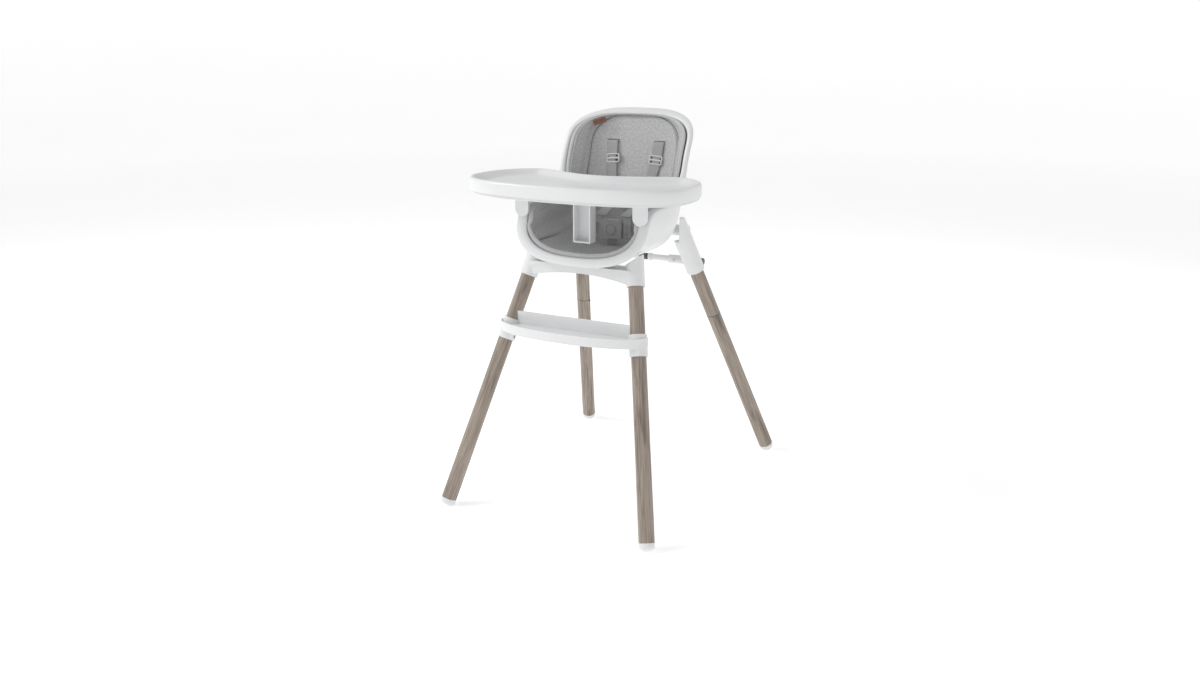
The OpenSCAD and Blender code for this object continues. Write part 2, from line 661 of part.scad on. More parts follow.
// Outline of the step: straight back, front bowed forward
function rest_edge(inset) = concat(
    [[rest_half - inset, rest_back_y - inset], [-rest_half + inset, rest_back_y - inset]],
    [for (i = [1:rest_steps - 1])
        let (a = 180 + 180 * i / rest_steps)
        [(rest_half - inset) * sign(cos(a)) * pow(abs(cos(a)), rest_round),
            rest_back_y - inset - (tread_d - 2 * inset) * pow(abs(sin(a)), rest_round)]]);
module footrest() {
    color(white)
        difference() {
            union() {
                difference() {
                    translate([0, 0, skirt_low_z]) linear_extrude(skirt_high_z - skirt_low_z) polygon(rest_edge(0));
                    translate([0, 0, tread_z + tread_t]) linear_extrude(40) polygon(rest_edge(5));
                    translate([0, 0, skirt_low_z - 1]) linear_extrude(tread_z - skirt_low_z + 1) polygon(rest_edge(3));
                }
                translate([-rest_half + 30, rest_back_y - 3.5, skirt_low_z]) cube([2 * rest_half - 60, 4, 47]);
                for (s = [-1, 1]) mirrored(s)
                    rod(front_leg(collar_low_z), front_leg(collar_high_z), collar_d);
            }
            for (s = [-1, 1]) mirrored(s) {
                rod(front_leg(collar_low_z - 20), front_leg(collar_high_z + 60), leg_d + 2 * leg_gap);
                translate(front_snap) rotate([0, -90, 0]) cylinder(d = snap_d + 0.8, h = 60);
            }
        }
}

// ---------- rear frame ----------
hinge_y = heel_y + 16.5;
hinge_z = seat_base_z + 49;
hinge_d = 16;
barrel_r = 14;
barrel_in_x = 62;
ear_in_x = half_w - 44;
ear_out_x = half_w - 27;
// Plane that keeps the rear arms clear of the round rear corner of the shell
clear_dir = [0.922, 0.387];
clear_at = 159 + 0.922 * (half_w - 178) + 0.387 * (heel_y - 89.5);
crossbar_y = 165;
crossbar_z = seat_base_z - 40;
sleeve_d = 22;
rod_d = 15;
lug_in_x = rear_leg(crossbar_z)[0] - 16;
lug_out_x = rear_leg(crossbar_z)[0] - 5;
lug_d = sleeve_d + 2;
module half_space_inside() {
    rotate([0, 0, atan2(clear_dir[1], clear_dir[0])])
        translate([clear_at - 300, -300, rear_collar_top_z]) cube([300, 600, 200]);
}
module rear_socket() {
    difference() {
        union() {
            difference() {
                rod(rear_leg(rear_socket_z), rear_leg(rear_arm_top_z + 40), rear_socket_d);
                half_space_inside();
                translate([0, -200, rear_arm_top_z]) cube([400, 500, 100]);
            }
            translate([barrel_in_x, hinge_y, hinge_z]) rotate([0, 90, 0])
                cylinder(r = barrel_r, h = ear_out_x - barrel_in_x);
            hull() {
                translate([ear_in_x, hinge_y, hinge_z]) rotate([0, 90, 0])
                    cylinder(r = barrel_r, h = ear_out_x - ear_in_x, $fn = 32);
                translate([ear_in_x + 8, rear_leg(hinge_z)[1] + 10, hinge_z]) rotate([0, 90, 0])
                    cylinder(r = barrel_r - 2, h = ear_out_x - ear_in_x - 8, $fn = 32);
            }
            hull() {
                translate([lug_in_x, crossbar_y, crossbar_z]) rotate([0, 90, 0])
                    cylinder(d = lug_d, h = lug_out_x - lug_in_x, $fn = 32);
                translate([lug_in_x, rear_leg(crossbar_z)[1] + 20, crossbar_z]) rotate([0, 90, 0])
                    cylinder(d = sleeve_d, h = lug_out_x - lug_in_x, $fn = 32);
            }
        }
        rod(rear_leg(rear_socket_z - 10), rear_leg(rear_socket_z + 64), leg_d + 2 * leg_gap);
        translate([barrel_in_x - 1, hinge_y, hinge_z]) rotate([0, 90, 0])
            cylinder(d = hinge_d + 0.12, h = ear_out_x - barrel_in_x - 5);
        translate([lug_in_x - 1, crossbar_y, crossbar_z]) rotate([0, 90, 0]) cylinder(d = rod_d + 0.12, h = 60);
    }
}
module rear_socket_left() { color(white) mirrored(-1) rear_socket(); }
module rear_socket_right() { color(white) rear_socket(); }
module hinge_pin() {
    color([0.7, 0.7, 0.72])
        rod([-(ear_out_x - 7), hinge_y, hinge_z], [ear_out_x - 7, hinge_y, hinge_z], hinge_d);
}
// Bracket between the shell and the hinge pin, its front face following the bend
bracket_gap = 1;
bracket_half = barrel_in_x - 1;
bracket_out_y = hinge_y + barrel_r + 1;
bracket_low = asin((hinge_z - barrel_r - arc_z) / (bend_r + bracket_gap));
bracket_high = asin(max(-1, min(0, (rear_screw_z + 12 - arc_z) / (bend_r + bracket_gap))));
module hinge_bracket() {
    color(white)
        difference() {
            rotate([90, 0, 90]) translate([0, 0, -bracket_half])
                linear_extrude(2 * bracket_half)
                    polygon(concat(
                        [for (i = [0:16]) let (a = lerp(bracket_low, bracket_high, i / 16))
                            [arc_y + (bend_r + bracket_gap) * cos(a), arc_z + (bend_r + bracket_gap) * sin(a)]],
                        [[bracket_out_y, rear_screw_z + 12], [bracket_out_y, hinge_z - barrel_r]]));
            translate([-bracket_half - 1, hinge_y, hinge_z]) rotate([0, 90, 0])
                cylinder(d = hinge_d + 0.12, h = 2 * bracket_half + 2);
            for (s = [-1, 1])
                translate([s * rear_screw_x, 0, rear_screw_z]) rotate([-90, 0, 0]) cylinder(d = screw_d + 0.6, h = 200);
        }
}

sleeve_in_x = 73;
sleeve_gap = 0.4;
rivet_x = 91;
rod_in_x = 13;
rod_flange_x = 22;
flange_d = 20;
rod_travel = 3;
rod_out_x = lug_out_x + 6;
rod_cap_d = 19;
rod_cap_len = 10;
module sleeve() {
    difference() {
        rod([sleeve_in_x, crossbar_y, crossbar_z], [lug_in_x - sleeve_gap, crossbar_y, crossbar_z], sleeve_d);
        rod([sleeve_in_x - 1, crossbar_y, crossbar_z], [lug_in_x + 1, crossbar_y, crossbar_z], rod_d + 0.12);
        translate([rivet_x, crossbar_y, crossbar_z]) rotate([90, 0, 0])
            translate([0, 0, -20]) cylinder(d = 5, h = 40);
    }
}
module crossbar_sleeve_left() { color(white) mirrored(-1) sleeve(); }
module crossbar_sleeve_right() { color(white) sleeve(); }
module sleeve_rivets() {
    color([0.6, 0.6, 0.6])
        for (s = [-1, 1])
            translate([s * rivet_x, crossbar_y - rod_d / 2 - 0.2, crossbar_z]) rotate([90, 0, 0]) {
                cylinder(d = 4.8, h = sleeve_d / 2 - rod_d / 2 + 0.4);
                translate([0, 0, sleeve_d / 2 - rod_d / 2 + 0.4]) cylinder(d = 8, h = 1.6);
            }
}
module release_rod() {
    rod([rod_in_x, crossbar_y, crossbar_z], [rod_flange_x, crossbar_y, crossbar_z], flange_d);
    rod([rod_in_x, crossbar_y, crossbar_z], [rod_out_x, crossbar_y, crossbar_z], rod_d);
}
module release_rod_left() { color(white) mirrored(-1) release_rod(); }
module release_rod_right() { color(white) release_rod(); }
module release_core() {
    color(dark_grey)
        rod([-(rod_in_x - rod_travel - 0.4), crossbar_y, crossbar_z],
            [rod_in_x - rod_travel - 0.4, crossbar_y, crossbar_z], flange_d - 3);
}
// Cups on the outer faces of the lugs that cover the ends of the release rods
module rod_end_caps() {
    a = [lug_out_x + 0.2, crossbar_y, crossbar_z];
    color(dark_grey)
        for (s = [-1, 1]) mirrored(s)
            difference() {
                rod(a, a + [rod_cap_len, 0, 0], rod_cap_d);
                rod(a - [1, 0, 0], a + [rod_cap_len - 2, 0, 0], rod_d + 0.6);
            }
}

seat_shell();
seat_pad();
pad_tag();
shoulder_strap_left();
shoulder_strap_right();
strap_adjuster_left();
strap_adjuster_right();
waist_strap_left();
waist_strap_right();
buckle_tongue_left();
buckle_tongue_right();
crotch_strap();
buckle_body();
buckle_button();
tray_base();
tray_cover();
tray_release_lever();
tray_latch_left();
tray_latch_right();
front_frame();
seat_screws();
front_upper_leg_left();
front_upper_leg_right();
front_lower_leg_left();
front_lower_leg_right();
footrest();
front_foot_caps();
hinge_bracket();
hinge_pin();
rear_socket_left();
rear_socket_right();
rear_upper_leg_left();
rear_upper_leg_right();
rear_lower_leg_left();
rear_lower_leg_right();
rear_foot_caps();
crossbar_sleeve_left();
crossbar_sleeve_right();
sleeve_rivets();
release_rod_left();
release_rod_right();
release_core();
rod_end_caps();
snap_button_front_left();
snap_button_front_right();
snap_button_rear_left();
snap_button_rear_right();
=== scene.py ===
import json
import math

import bmesh
import bpy
import numpy as np
from bpy.props import FloatProperty, FloatVectorProperty, IntProperty, PointerProperty
from bpy.types import Operator, Panel, PropertyGroup
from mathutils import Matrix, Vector

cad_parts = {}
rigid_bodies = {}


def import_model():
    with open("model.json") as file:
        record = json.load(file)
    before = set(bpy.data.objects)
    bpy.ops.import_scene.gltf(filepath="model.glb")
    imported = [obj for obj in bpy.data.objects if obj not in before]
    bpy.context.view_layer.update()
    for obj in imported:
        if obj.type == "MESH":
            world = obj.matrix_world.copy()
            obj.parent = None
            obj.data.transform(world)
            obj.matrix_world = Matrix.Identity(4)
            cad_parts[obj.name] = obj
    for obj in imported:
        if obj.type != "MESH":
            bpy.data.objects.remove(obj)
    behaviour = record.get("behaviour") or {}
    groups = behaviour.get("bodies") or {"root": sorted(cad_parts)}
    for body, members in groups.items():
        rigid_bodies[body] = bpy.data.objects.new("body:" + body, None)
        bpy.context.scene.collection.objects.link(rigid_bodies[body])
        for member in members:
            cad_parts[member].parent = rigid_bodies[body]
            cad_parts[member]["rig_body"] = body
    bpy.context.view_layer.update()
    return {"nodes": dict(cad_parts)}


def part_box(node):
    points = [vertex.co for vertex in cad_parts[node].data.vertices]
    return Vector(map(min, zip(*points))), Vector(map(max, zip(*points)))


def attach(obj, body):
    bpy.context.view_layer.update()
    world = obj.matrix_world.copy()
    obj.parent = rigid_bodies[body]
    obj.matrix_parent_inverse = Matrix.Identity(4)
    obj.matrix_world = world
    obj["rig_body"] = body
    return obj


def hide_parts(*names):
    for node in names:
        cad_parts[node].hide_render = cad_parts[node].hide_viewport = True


bl_info = {
    "name": "Baby high chair looks",
    "version": (1, 0, 0),
    "blender": (4, 5, 0),
    "location": "View3D > Sidebar > High Chair",
    "description": "Builds the finished surfaces of a tub-seat high chair round its CAD frame",
    "category": "Object",
}

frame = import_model()
MM = 0.001


def corners_mm(node):
    """Lowest and highest corner of a CAD node, in millimetres."""
    low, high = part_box(node)
    return np.array(low) / MM, np.array(high) / MM


SHELL_LOW, SHELL_HIGH = corners_mm("seat_shell")
SIDES = ((-1, "left"), (1, "right"))


# ---------------------------------------------------------------- sizes and colours


class SeatSizes(PropertyGroup):
    """Sizes of the moulded seat and its liner."""

    rim_round: FloatProperty(name="Rim rounding", description="How far the rolled rim bulges past its edges",
        default=5 * MM, min=0, max=10 * MM, subtype="DISTANCE", unit="LENGTH")
    puff: FloatProperty(name="Liner puff", description="Most that the liner's filling lifts its face",
        default=3.5 * MM, min=0, max=12 * MM, subtype="DISTANCE", unit="LENGTH")
    pressure: FloatProperty(name="Filling pressure", description="Pressure that swells the liner while it settles",
        default=5.0, min=0, max=20)
    piping: FloatProperty(name="Piping radius", description="Radius of the piping round the liner",
        default=1.7 * MM, min=1 * MM, max=5 * MM, subtype="DISTANCE", unit="LENGTH")
    stitch_pitch: FloatProperty(name="Stitch pitch", description="Distance from one stitch to the next",
        default=5.5 * MM, min=2 * MM, max=12 * MM, subtype="DISTANCE", unit="LENGTH")
    sim_frames: IntProperty(name="Simulation frames", description="Frames that the filling gets to settle",
        default=20, min=1, max=60)


class ChairColours(PropertyGroup):
    """Base colours, in linear light."""

    white: FloatVectorProperty(name="White plastic", description="Shell, tray and sockets",
        default=(0.74, 0.745, 0.75), subtype="COLOR", min=0, max=1)
    cloth: FloatVectorProperty(name="Liner cloth", description="Light yarn of the liner",
        default=(0.55, 0.55, 0.555), subtype="COLOR", min=0, max=1)
    yarn: FloatVectorProperty(name="Dark yarn", description="Dark flecks of the liner",
        default=(0.27, 0.27, 0.275), subtype="COLOR", min=0, max=1)
    webbing: FloatVectorProperty(name="Webbing", description="Harness webbing",
        default=(0.38, 0.38, 0.385), subtype="COLOR", min=0, max=1)
    fitting: FloatVectorProperty(name="Harness fittings", description="Strap adjusters",
        default=(0.62, 0.62, 0.625), subtype="COLOR", min=0, max=1)
    # Darker than the fittings: partly the buckle's own grey, partly painted shade for the shadow under the tray.
    buckle: FloatVectorProperty(name="Buckle", description="Buckle body, button and tongues",
        default=(0.45, 0.45, 0.455), subtype="COLOR", min=0, max=1)
    # Also the painted shade in the strap and ladder-lock slots, under the tray's skirt and in the leg grooves.
    dark: FloatVectorProperty(name="Dark plastic", description="Crossbar centre, latches and buttons",
        default=(0.075, 0.077, 0.08), subtype="COLOR", min=0, max=1)
    wood_light: FloatVectorProperty(name="Light grain", description="Light bands of the legs",
        default=(0.335, 0.28, 0.232), subtype="COLOR", min=0, max=1)
    wood_dark: FloatVectorProperty(name="Dark grain", description="Dark streaks of the legs",
        default=(0.12, 0.095, 0.075), subtype="COLOR", min=0, max=1)
    leather: FloatVectorProperty(name="Tag leather", description="Small tag on the liner",
        default=(0.17, 0.062, 0.04), subtype="COLOR", min=0, max=1)


class StageSizes(PropertyGroup):
    """Camera and light."""

    camera_place: FloatVectorProperty(name="Camera place", description="Where the camera stands",
        default=(1.3025, -2.5067, 1.1441), subtype="TRANSLATION", unit="LENGTH")
    azimuth: FloatProperty(name="Camera azimuth", description="Turn of the view from straight on",
        default=math.radians(28.289), subtype="ANGLE", unit="ROTATION")
    elevation: FloatProperty(name="Camera elevation", description="How far the camera looks down",
        default=math.radians(15.146), subtype="ANGLE", unit="ROTATION")
    lens: FloatProperty(name="Lens", description="Focal length in millimetres on a 36 mm sensor",
        default=33.9, min=10, max=200)
    key_power: FloatProperty(name="Key light", description="Power of the large soft light",
        default=62.0, min=0, unit="POWER")


# ---------------------------------------------------------------- mesh helpers


def grid_quads(rows, cols, wrap_rows=False, wrap_cols=False, start=0):
    """Quads joining a grid of points kept row by row. A wrapped side joins its last line to its first."""
    i, j = np.meshgrid(np.arange(rows if wrap_rows else rows - 1),
        np.arange(cols if wrap_cols else cols - 1), indexing="ij")
    i2, j2 = (i + 1) % rows, (j + 1) % cols
    quads = np.stack([i * cols + j, i * cols + j2, i2 * cols + j2, i2 * cols + j], -1).reshape(-1, 4)
    return (quads + start).tolist()


def new_piece(name, points_mm, faces, finish, body, stands_for=(), pattern=None, levels=0):
    """A closed mesh from points in millimetres. Doubles are merged and faces turned outwards."""
    mesh = bpy.data.meshes.new(name)
    points = np.asarray(points_mm, float).reshape(-1, 3) * MM
    mesh.from_pydata(points.tolist(), [], [list(f) for f in faces])
    if pattern is not None:
        layer = mesh.attributes.new("pattern", "FLOAT_VECTOR", "POINT")
        metres = np.asarray(pattern, float).reshape(-1, 3) * MM
        layer.data.foreach_set("vector", metres.astype(np.float32).ravel())
    tidy_mesh(mesh)
    mesh.shade_smooth()
    piece = bpy.data.objects.new(name, mesh)
    bpy.context.scene.collection.objects.link(piece)
    mesh.materials.append(finish)
    if levels:
        sub = piece.modifiers.new("Subdivision", "SUBSURF")
        sub.levels = sub.render_levels = levels
    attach(piece, body)
    if stands_for:
        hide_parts(*stands_for)
    return piece


def tidy_mesh(mesh, distance=1e-6):
    """Merges doubles, drops faces without area and turns faces outwards."""
    bm = bmesh.new()
    bm.from_mesh(mesh)
    bmesh.ops.remove_doubles(bm, verts=bm.verts, dist=distance)
    bmesh.ops.dissolve_degenerate(bm, edges=bm.edges, dist=distance)
    bmesh.ops.recalc_face_normals(bm, faces=bm.faces)
    bm.to_mesh(mesh)
    bm.free()
    mesh.update()


def loft(rings, closed_ends=True):
    """Faces for rings of points: neighbours joined by quads, the first and last ring closed by one face."""
    rows, cols = rings.shape[:2]
    faces = grid_quads(rows, cols, wrap_cols=True)
    if closed_ends:
        faces.append(list(range(cols))[::-1])
        faces.append([(rows - 1) * cols + k for k in range(cols)])
    return faces


def unit_rows(v):
    """Each row divided by its length."""
    return v / np.maximum(np.linalg.norm(v, axis=-1, keepdims=True), 1e-9)


def distances(path):
    """Distance along a path from its start to each of its points."""
    return np.concatenate([[0], np.cumsum(np.linalg.norm(np.diff(path, axis=0), axis=1))])


def smoothed_path(points, count):
    """Points evenly spaced along a Catmull-Rom curve through the given ones."""
    p = np.asarray(points, float)
    p = np.vstack([2 * p[0] - p[1], p, 2 * p[-1] - p[-2]])
    t = np.linspace(0, 1, 24, endpoint=False)[:, None]
    runs = [0.5 * (2 * p[i] + (p[i + 1] - p[i - 1]) * t
        + (2 * p[i - 1] - 5 * p[i] + 4 * p[i + 1] - p[i + 2]) * t * t
        + (3 * p[i] - p[i - 1] - 3 * p[i + 1] + p[i + 2]) * t ** 3) for i in range(1, len(p) - 2)]
    curve = np.vstack(runs + [p[-2][None]])
    along = distances(curve)
    want = np.linspace(0, along[-1], count)
    return np.stack([np.interp(want, along, curve[:, k]) for k in range(3)], -1)


def swept(path, profile, side, closed=False):
    """Rings of a flat profile carried along a path. The profile's first coordinate lies along the
    side direction made square to the path, its second along the cross product of the two."""
    ahead = np.roll(path, -1, 0) if closed else np.vstack([path[1:], path[-1:]])
    behind = np.roll(path, 1, 0) if closed else np.vstack([path[:1], path[:-1]])
    t = unit_rows(ahead - behind)
    s = np.broadcast_to(np.asarray(side, float), path.shape)
    s = unit_rows(s - (s * t).sum(-1, keepdims=True) * t)
    n = np.cross(t, s)
    return path[:, None] + s[:, None] * profile[None, :, :1] + n[:, None] * profile[None, :, 1:2]


def round_profile(radius, steps=12, squash=1.0):
    """Points round a circle, or an ellipse if squashed."""
    a = np.linspace(0, 2 * np.pi, steps, endpoint=False)
    return np.stack([radius * np.cos(a), radius * squash * np.sin(a)], -1)


def superellipse(half_w, half_h, power, steps):
    """Points where |x/a|^n + |y/b|^n is 1."""
    a = np.linspace(0, 2 * np.pi, steps, endpoint=False)
    c, s = np.cos(a), np.sin(a)
    x = half_w * np.sign(c) * np.abs(c) ** (2 / power)
    y = half_h * np.sign(s) * np.abs(s) ** (2 / power)
    return np.stack([x, y], -1)


def pillow(centre, half, power=(4.0, 3.0), rows=28, cols=64, tilt=None):
    """A superellipsoid: rings whose size follows one superellipse while each ring is another."""
    v = np.linspace(-np.pi / 2, np.pi / 2, rows)
    scale = np.abs(np.cos(v)) ** (2 / power[1])
    rise = np.sign(v) * np.abs(np.sin(v)) ** (2 / power[1])
    ring = superellipse(half[0], half[2], power[0], cols)
    pts = np.stack([ring[None, :, 0] * scale[:, None], np.broadcast_to(half[1] * rise[:, None], (rows, cols)),
        ring[None, :, 1] * scale[:, None]], -1)
    if tilt is not None:
        pts = pts @ np.asarray(tilt, float).T
    return pts + np.asarray(centre, float)


def finished_copy(node, finish, bevel=1.2, angle=32, segments=3):
    """A copy of a hard CAD part with its doubles merged, its flat faces joined and its edges rounded."""
    source = frame["nodes"][node]
    mesh = source.data.copy()
    mesh.name = node + "_finish"
    bm = bmesh.new()
    bm.from_mesh(mesh)
    bmesh.ops.remove_doubles(bm, verts=bm.verts, dist=2e-6)
    bmesh.ops.dissolve_degenerate(bm, edges=bm.edges, dist=1e-6)
    bmesh.ops.dissolve_limit(bm, angle_limit=math.radians(0.6), verts=bm.verts, edges=bm.edges)
    bm.to_mesh(mesh)
    bm.free()
    mesh.materials.clear()
    mesh.materials.append(finish)
    piece = bpy.data.objects.new(node + "_finish", mesh)
    bpy.context.scene.collection.objects.link(piece)
    mesh.shade_smooth()
    if bevel:
        mod = piece.modifiers.new("Bevel", "BEVEL")
        mod.width = bevel * MM
        mod.segments = segments
        mod.limit_method = "ANGLE"
        mod.angle_limit = math.radians(angle)
        mod.harden_normals = True
        mod.use_clamp_overlap = True
    mesh.set_sharp_from_angle(angle=math.radians(angle))
    body = source["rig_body"]
    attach(piece, body)
    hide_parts(node)
    return piece


# ---------------------------------------------------------------- finishes


def new_finish(name):
    """An empty node material with its shader and output, and a helper that adds and joins nodes."""
    mat = bpy.data.materials.new(name)
    mat.use_nodes = True
    tree = mat.node_tree
    shader = tree.nodes["Principled BSDF"]

    def add(kind, inputs=None, **settings):
        node = tree.nodes.new(kind)
        for key, value in settings.items():
            setattr(node, key, value)
        for key, value in (inputs or {}).items():
            if isinstance(value, bpy.types.NodeSocket):
                tree.links.new(value, node.inputs[key])
            else:
                node.inputs[key].default_value = value
        return node

    return mat, tree, shader, add


def ramp(add, fac, stops):
    """A colour ramp with the given (place, colour) stops."""
    node = add("ShaderNodeValToRGB", {"Fac": fac})
    band = node.color_ramp
    while len(band.elements) < len(stops):
        band.elements.new(0.5)
    for element, (place, colour) in zip(band.elements, stops):
        element.position = place
        element.color = (*colour, 1)
    return node.outputs["Color"]


def shade(colour, factor):
    """A colour made lighter or darker."""
    return tuple(min(1.0, c * factor) for c in colour)


def plastic_finish(name, colour, rough=0.34, coat=0.12, grain=0.05):
    """Moulded plastic: an even colour with a faint flow mottle and a fine spark-eroded grain."""
    mat, tree, shader, add = new_finish(name)
    place = add("ShaderNodeTexCoord").outputs["Object"]
    flow = add("ShaderNodeTexNoise", {"Vector": place, "Scale": 7.0, "Detail": 3.0}).outputs["Fac"]
    mottle = ramp(add, flow, [(0.3, shade(colour, 0.965)), (0.7, shade(colour, 1.02))])
    tree.links.new(mottle, shader.inputs["Base Color"])
    fine = add("ShaderNodeTexNoise", {"Vector": place, "Scale": 1300.0, "Detail": 2.0}).outputs["Fac"]
    rub = add("ShaderNodeTexNoise", {"Vector": place, "Scale": 38.0, "Detail": 4.0}).outputs["Fac"]
    rough_map = add("ShaderNodeMapRange", {"Value": rub, "To Min": rough - 0.05, "To Max": rough + 0.07})
    tree.links.new(rough_map.outputs["Result"], shader.inputs["Roughness"])
    bump = add("ShaderNodeBump", {"Strength": grain, "Distance": 0.0003, "Height": fine})
    tree.links.new(bump.outputs["Normal"], shader.inputs["Normal"])
    shader.inputs["Coat Weight"].default_value = coat
    shader.inputs["Coat Roughness"].default_value = 0.18
    shader.inputs["IOR"].default_value = 1.49
    return mat


def cloth_finish(name, light, dark):
    """Heather cloth: light yarn flecked with darker fibres, over a plain weave that the pattern follows."""
    mat, tree, shader, add = new_finish(name)
    place = add("ShaderNodeTexCoord").outputs["Object"]
    weave_at = add("ShaderNodeAttribute", attribute_name="pattern").outputs["Vector"]
    fleck = add("ShaderNodeTexNoise",
        {"Vector": place, "Scale": 620.0, "Detail": 4.0, "Roughness": 0.7}).outputs["Fac"]
    long_map = add("ShaderNodeMapping", {"Vector": weave_at, "Scale": (1.0, 0.16, 1.0)}).outputs["Vector"]
    fibre = add("ShaderNodeTexNoise", {"Vector": long_map, "Scale": 900.0, "Detail": 3.0}).outputs["Fac"]
    wide_map = add("ShaderNodeMapping", {"Vector": weave_at, "Scale": (0.16, 1.0, 1.0)}).outputs["Vector"]
    weft = add("ShaderNodeTexNoise", {"Vector": wide_map, "Scale": 900.0, "Detail": 3.0}).outputs["Fac"]
    yarns = add("ShaderNodeMath", {0: fibre, 1: weft}, operation="ADD").outputs["Value"]
    mixed = add("ShaderNodeMath", {0: yarns, 1: fleck}, operation="ADD").outputs["Value"]
    tint = add("ShaderNodeMapRange", {"Value": mixed, "From Min": 1.1, "From Max": 1.85}).outputs["Result"]
    mid = tuple((a + b) / 2 for a, b in zip(light, dark))
    colour = ramp(add, tint, [(0.0, dark), (0.32, mid), (0.6, light), (1.0, shade(light, 1.18))])
    tree.links.new(colour, shader.inputs["Base Color"])
    warp = add("ShaderNodeTexWave", {"Vector": weave_at, "Scale": 240.0, "Distortion": 0.6, "Detail": 1.0},
        bands_direction="X").outputs["Fac"]
    across = add("ShaderNodeTexWave", {"Vector": weave_at, "Scale": 240.0, "Distortion": 0.6, "Detail": 1.0},
        bands_direction="Y").outputs["Fac"]
    weave = add("ShaderNodeMath", {0: warp, 1: across}, operation="MULTIPLY").outputs["Value"]
    height = add("ShaderNodeMath", {0: weave, 1: fleck}, operation="ADD").outputs["Value"]
    bump = add("ShaderNodeBump", {"Strength": 0.4, "Distance": 0.0006, "Height": height})
    tree.links.new(bump.outputs["Normal"], shader.inputs["Normal"])
    shader.inputs["Roughness"].default_value = 0.92
    shader.inputs["Sheen Weight"].default_value = 0.25
    shader.inputs["Sheen Roughness"].default_value = 0.5
    shader.inputs["Specular IOR Level"].default_value = 0.2
    return mat


def webbing_finish(name, colour):
    """Ribbed webbing: fine ribs across the strap and cords along it."""
    mat, tree, shader, add = new_finish(name)
    at = add("ShaderNodeAttribute", attribute_name="pattern").outputs["Vector"]
    ribs = add("ShaderNodeTexWave", {"Vector": at, "Scale": 190.0, "Distortion": 0.4, "Detail": 1.0},
        bands_direction="Y").outputs["Fac"]
    cords = add("ShaderNodeTexWave", {"Vector": at, "Scale": 120.0, "Distortion": 0.3, "Detail": 1.0},
        bands_direction="X").outputs["Fac"]
    worn = add("ShaderNodeTexNoise", {"Vector": at, "Scale": 260.0, "Detail": 4.0}).outputs["Fac"]
    weave = add("ShaderNodeMath", {0: ribs, 1: cords}, operation="MULTIPLY").outputs["Value"]
    tint = add("ShaderNodeMath", {0: weave, 1: worn}, operation="ADD").outputs["Value"]
    tree.links.new(ramp(add, tint, [(0.2, shade(colour, 0.78)), (0.8, colour), (1.0, shade(colour, 1.12))]),
        shader.inputs["Base Color"])
    bump = add("ShaderNodeBump", {"Strength": 0.45, "Distance": 0.0005, "Height": weave})
    tree.links.new(bump.outputs["Normal"], shader.inputs["Normal"])
    shader.inputs["Roughness"].default_value = 0.8
    shader.inputs["Sheen Weight"].default_value = 0.15
    return mat


def wood_finish(name, light, dark):
    """Taupe grain along the leg: broad streaks drawn out along it, thin dark pores and a soft sheen."""
    mat, tree, shader, add = new_finish(name)
    at = add("ShaderNodeAttribute", attribute_name="pattern").outputs["Vector"]
    mid = tuple(0.62 * a + 0.38 * b for a, b in zip(light, dark))
    drawn = add("ShaderNodeMapping", {"Vector": at, "Scale": (1.0, 1.0, 0.07)}).outputs["Vector"]
    streak = add("ShaderNodeTexNoise",
        {"Vector": drawn, "Scale": 95.0, "Detail": 5.0, "Distortion": 0.9}).outputs["Fac"]
    finer = add("ShaderNodeMapping", {"Vector": at, "Scale": (1.0, 1.0, 0.03)}).outputs["Vector"]
    pores = add("ShaderNodeTexNoise",
        {"Vector": finer, "Scale": 420.0, "Detail": 3.0, "Roughness": 0.6}).outputs["Fac"]
    base = ramp(add, streak, [(0.26, dark), (0.4, mid), (0.54, light), (0.8, shade(light, 1.14))])
    thin = ramp(add, pores, [(0.36, (0.55, 0.53, 0.51)), (0.52, (1.0, 1.0, 1.0)), (0.8, (1.06, 1.05, 1.04))])
    mixed = add("ShaderNodeMix", {"Factor": 0.75}, data_type="RGBA", blend_type="MULTIPLY")
    tree.links.new(base, mixed.inputs[6])
    tree.links.new(thin, mixed.inputs[7])
    tree.links.new(mixed.outputs[2], shader.inputs["Base Color"])
    both = add("ShaderNodeMath", {0: streak, 1: pores}, operation="ADD").outputs["Value"]
    rough = add("ShaderNodeMapRange",
        {"Value": both, "From Min": 0.6, "From Max": 1.4, "To Min": 0.55, "To Max": 0.4})
    tree.links.new(rough.outputs["Result"], shader.inputs["Roughness"])
    bump = add("ShaderNodeBump", {"Strength": 0.18, "Distance": 0.0004, "Height": pores})
    tree.links.new(bump.outputs["Normal"], shader.inputs["Normal"])
    return mat


def leather_finish(name, colour):
    """Pebbled leather with darker and lighter blotches."""
    mat, tree, shader, add = new_finish(name)
    place = add("ShaderNodeTexCoord").outputs["Object"]
    cells = add("ShaderNodeTexVoronoi", {"Vector": place, "Scale": 900.0}).outputs["Distance"]
    cloud = add("ShaderNodeTexNoise", {"Vector": place, "Scale": 130.0, "Detail": 4.0}).outputs["Fac"]
    blotches = ramp(add, cloud, [(0.3, shade(colour, 0.7)), (0.7, shade(colour, 1.3))])
    tree.links.new(blotches, shader.inputs["Base Color"])
    bump = add("ShaderNodeBump", {"Strength": 0.35, "Distance": 0.0004, "Height": cells})
    tree.links.new(bump.outputs["Normal"], shader.inputs["Normal"])
    shader.inputs["Roughness"].default_value = 0.55
    return mat


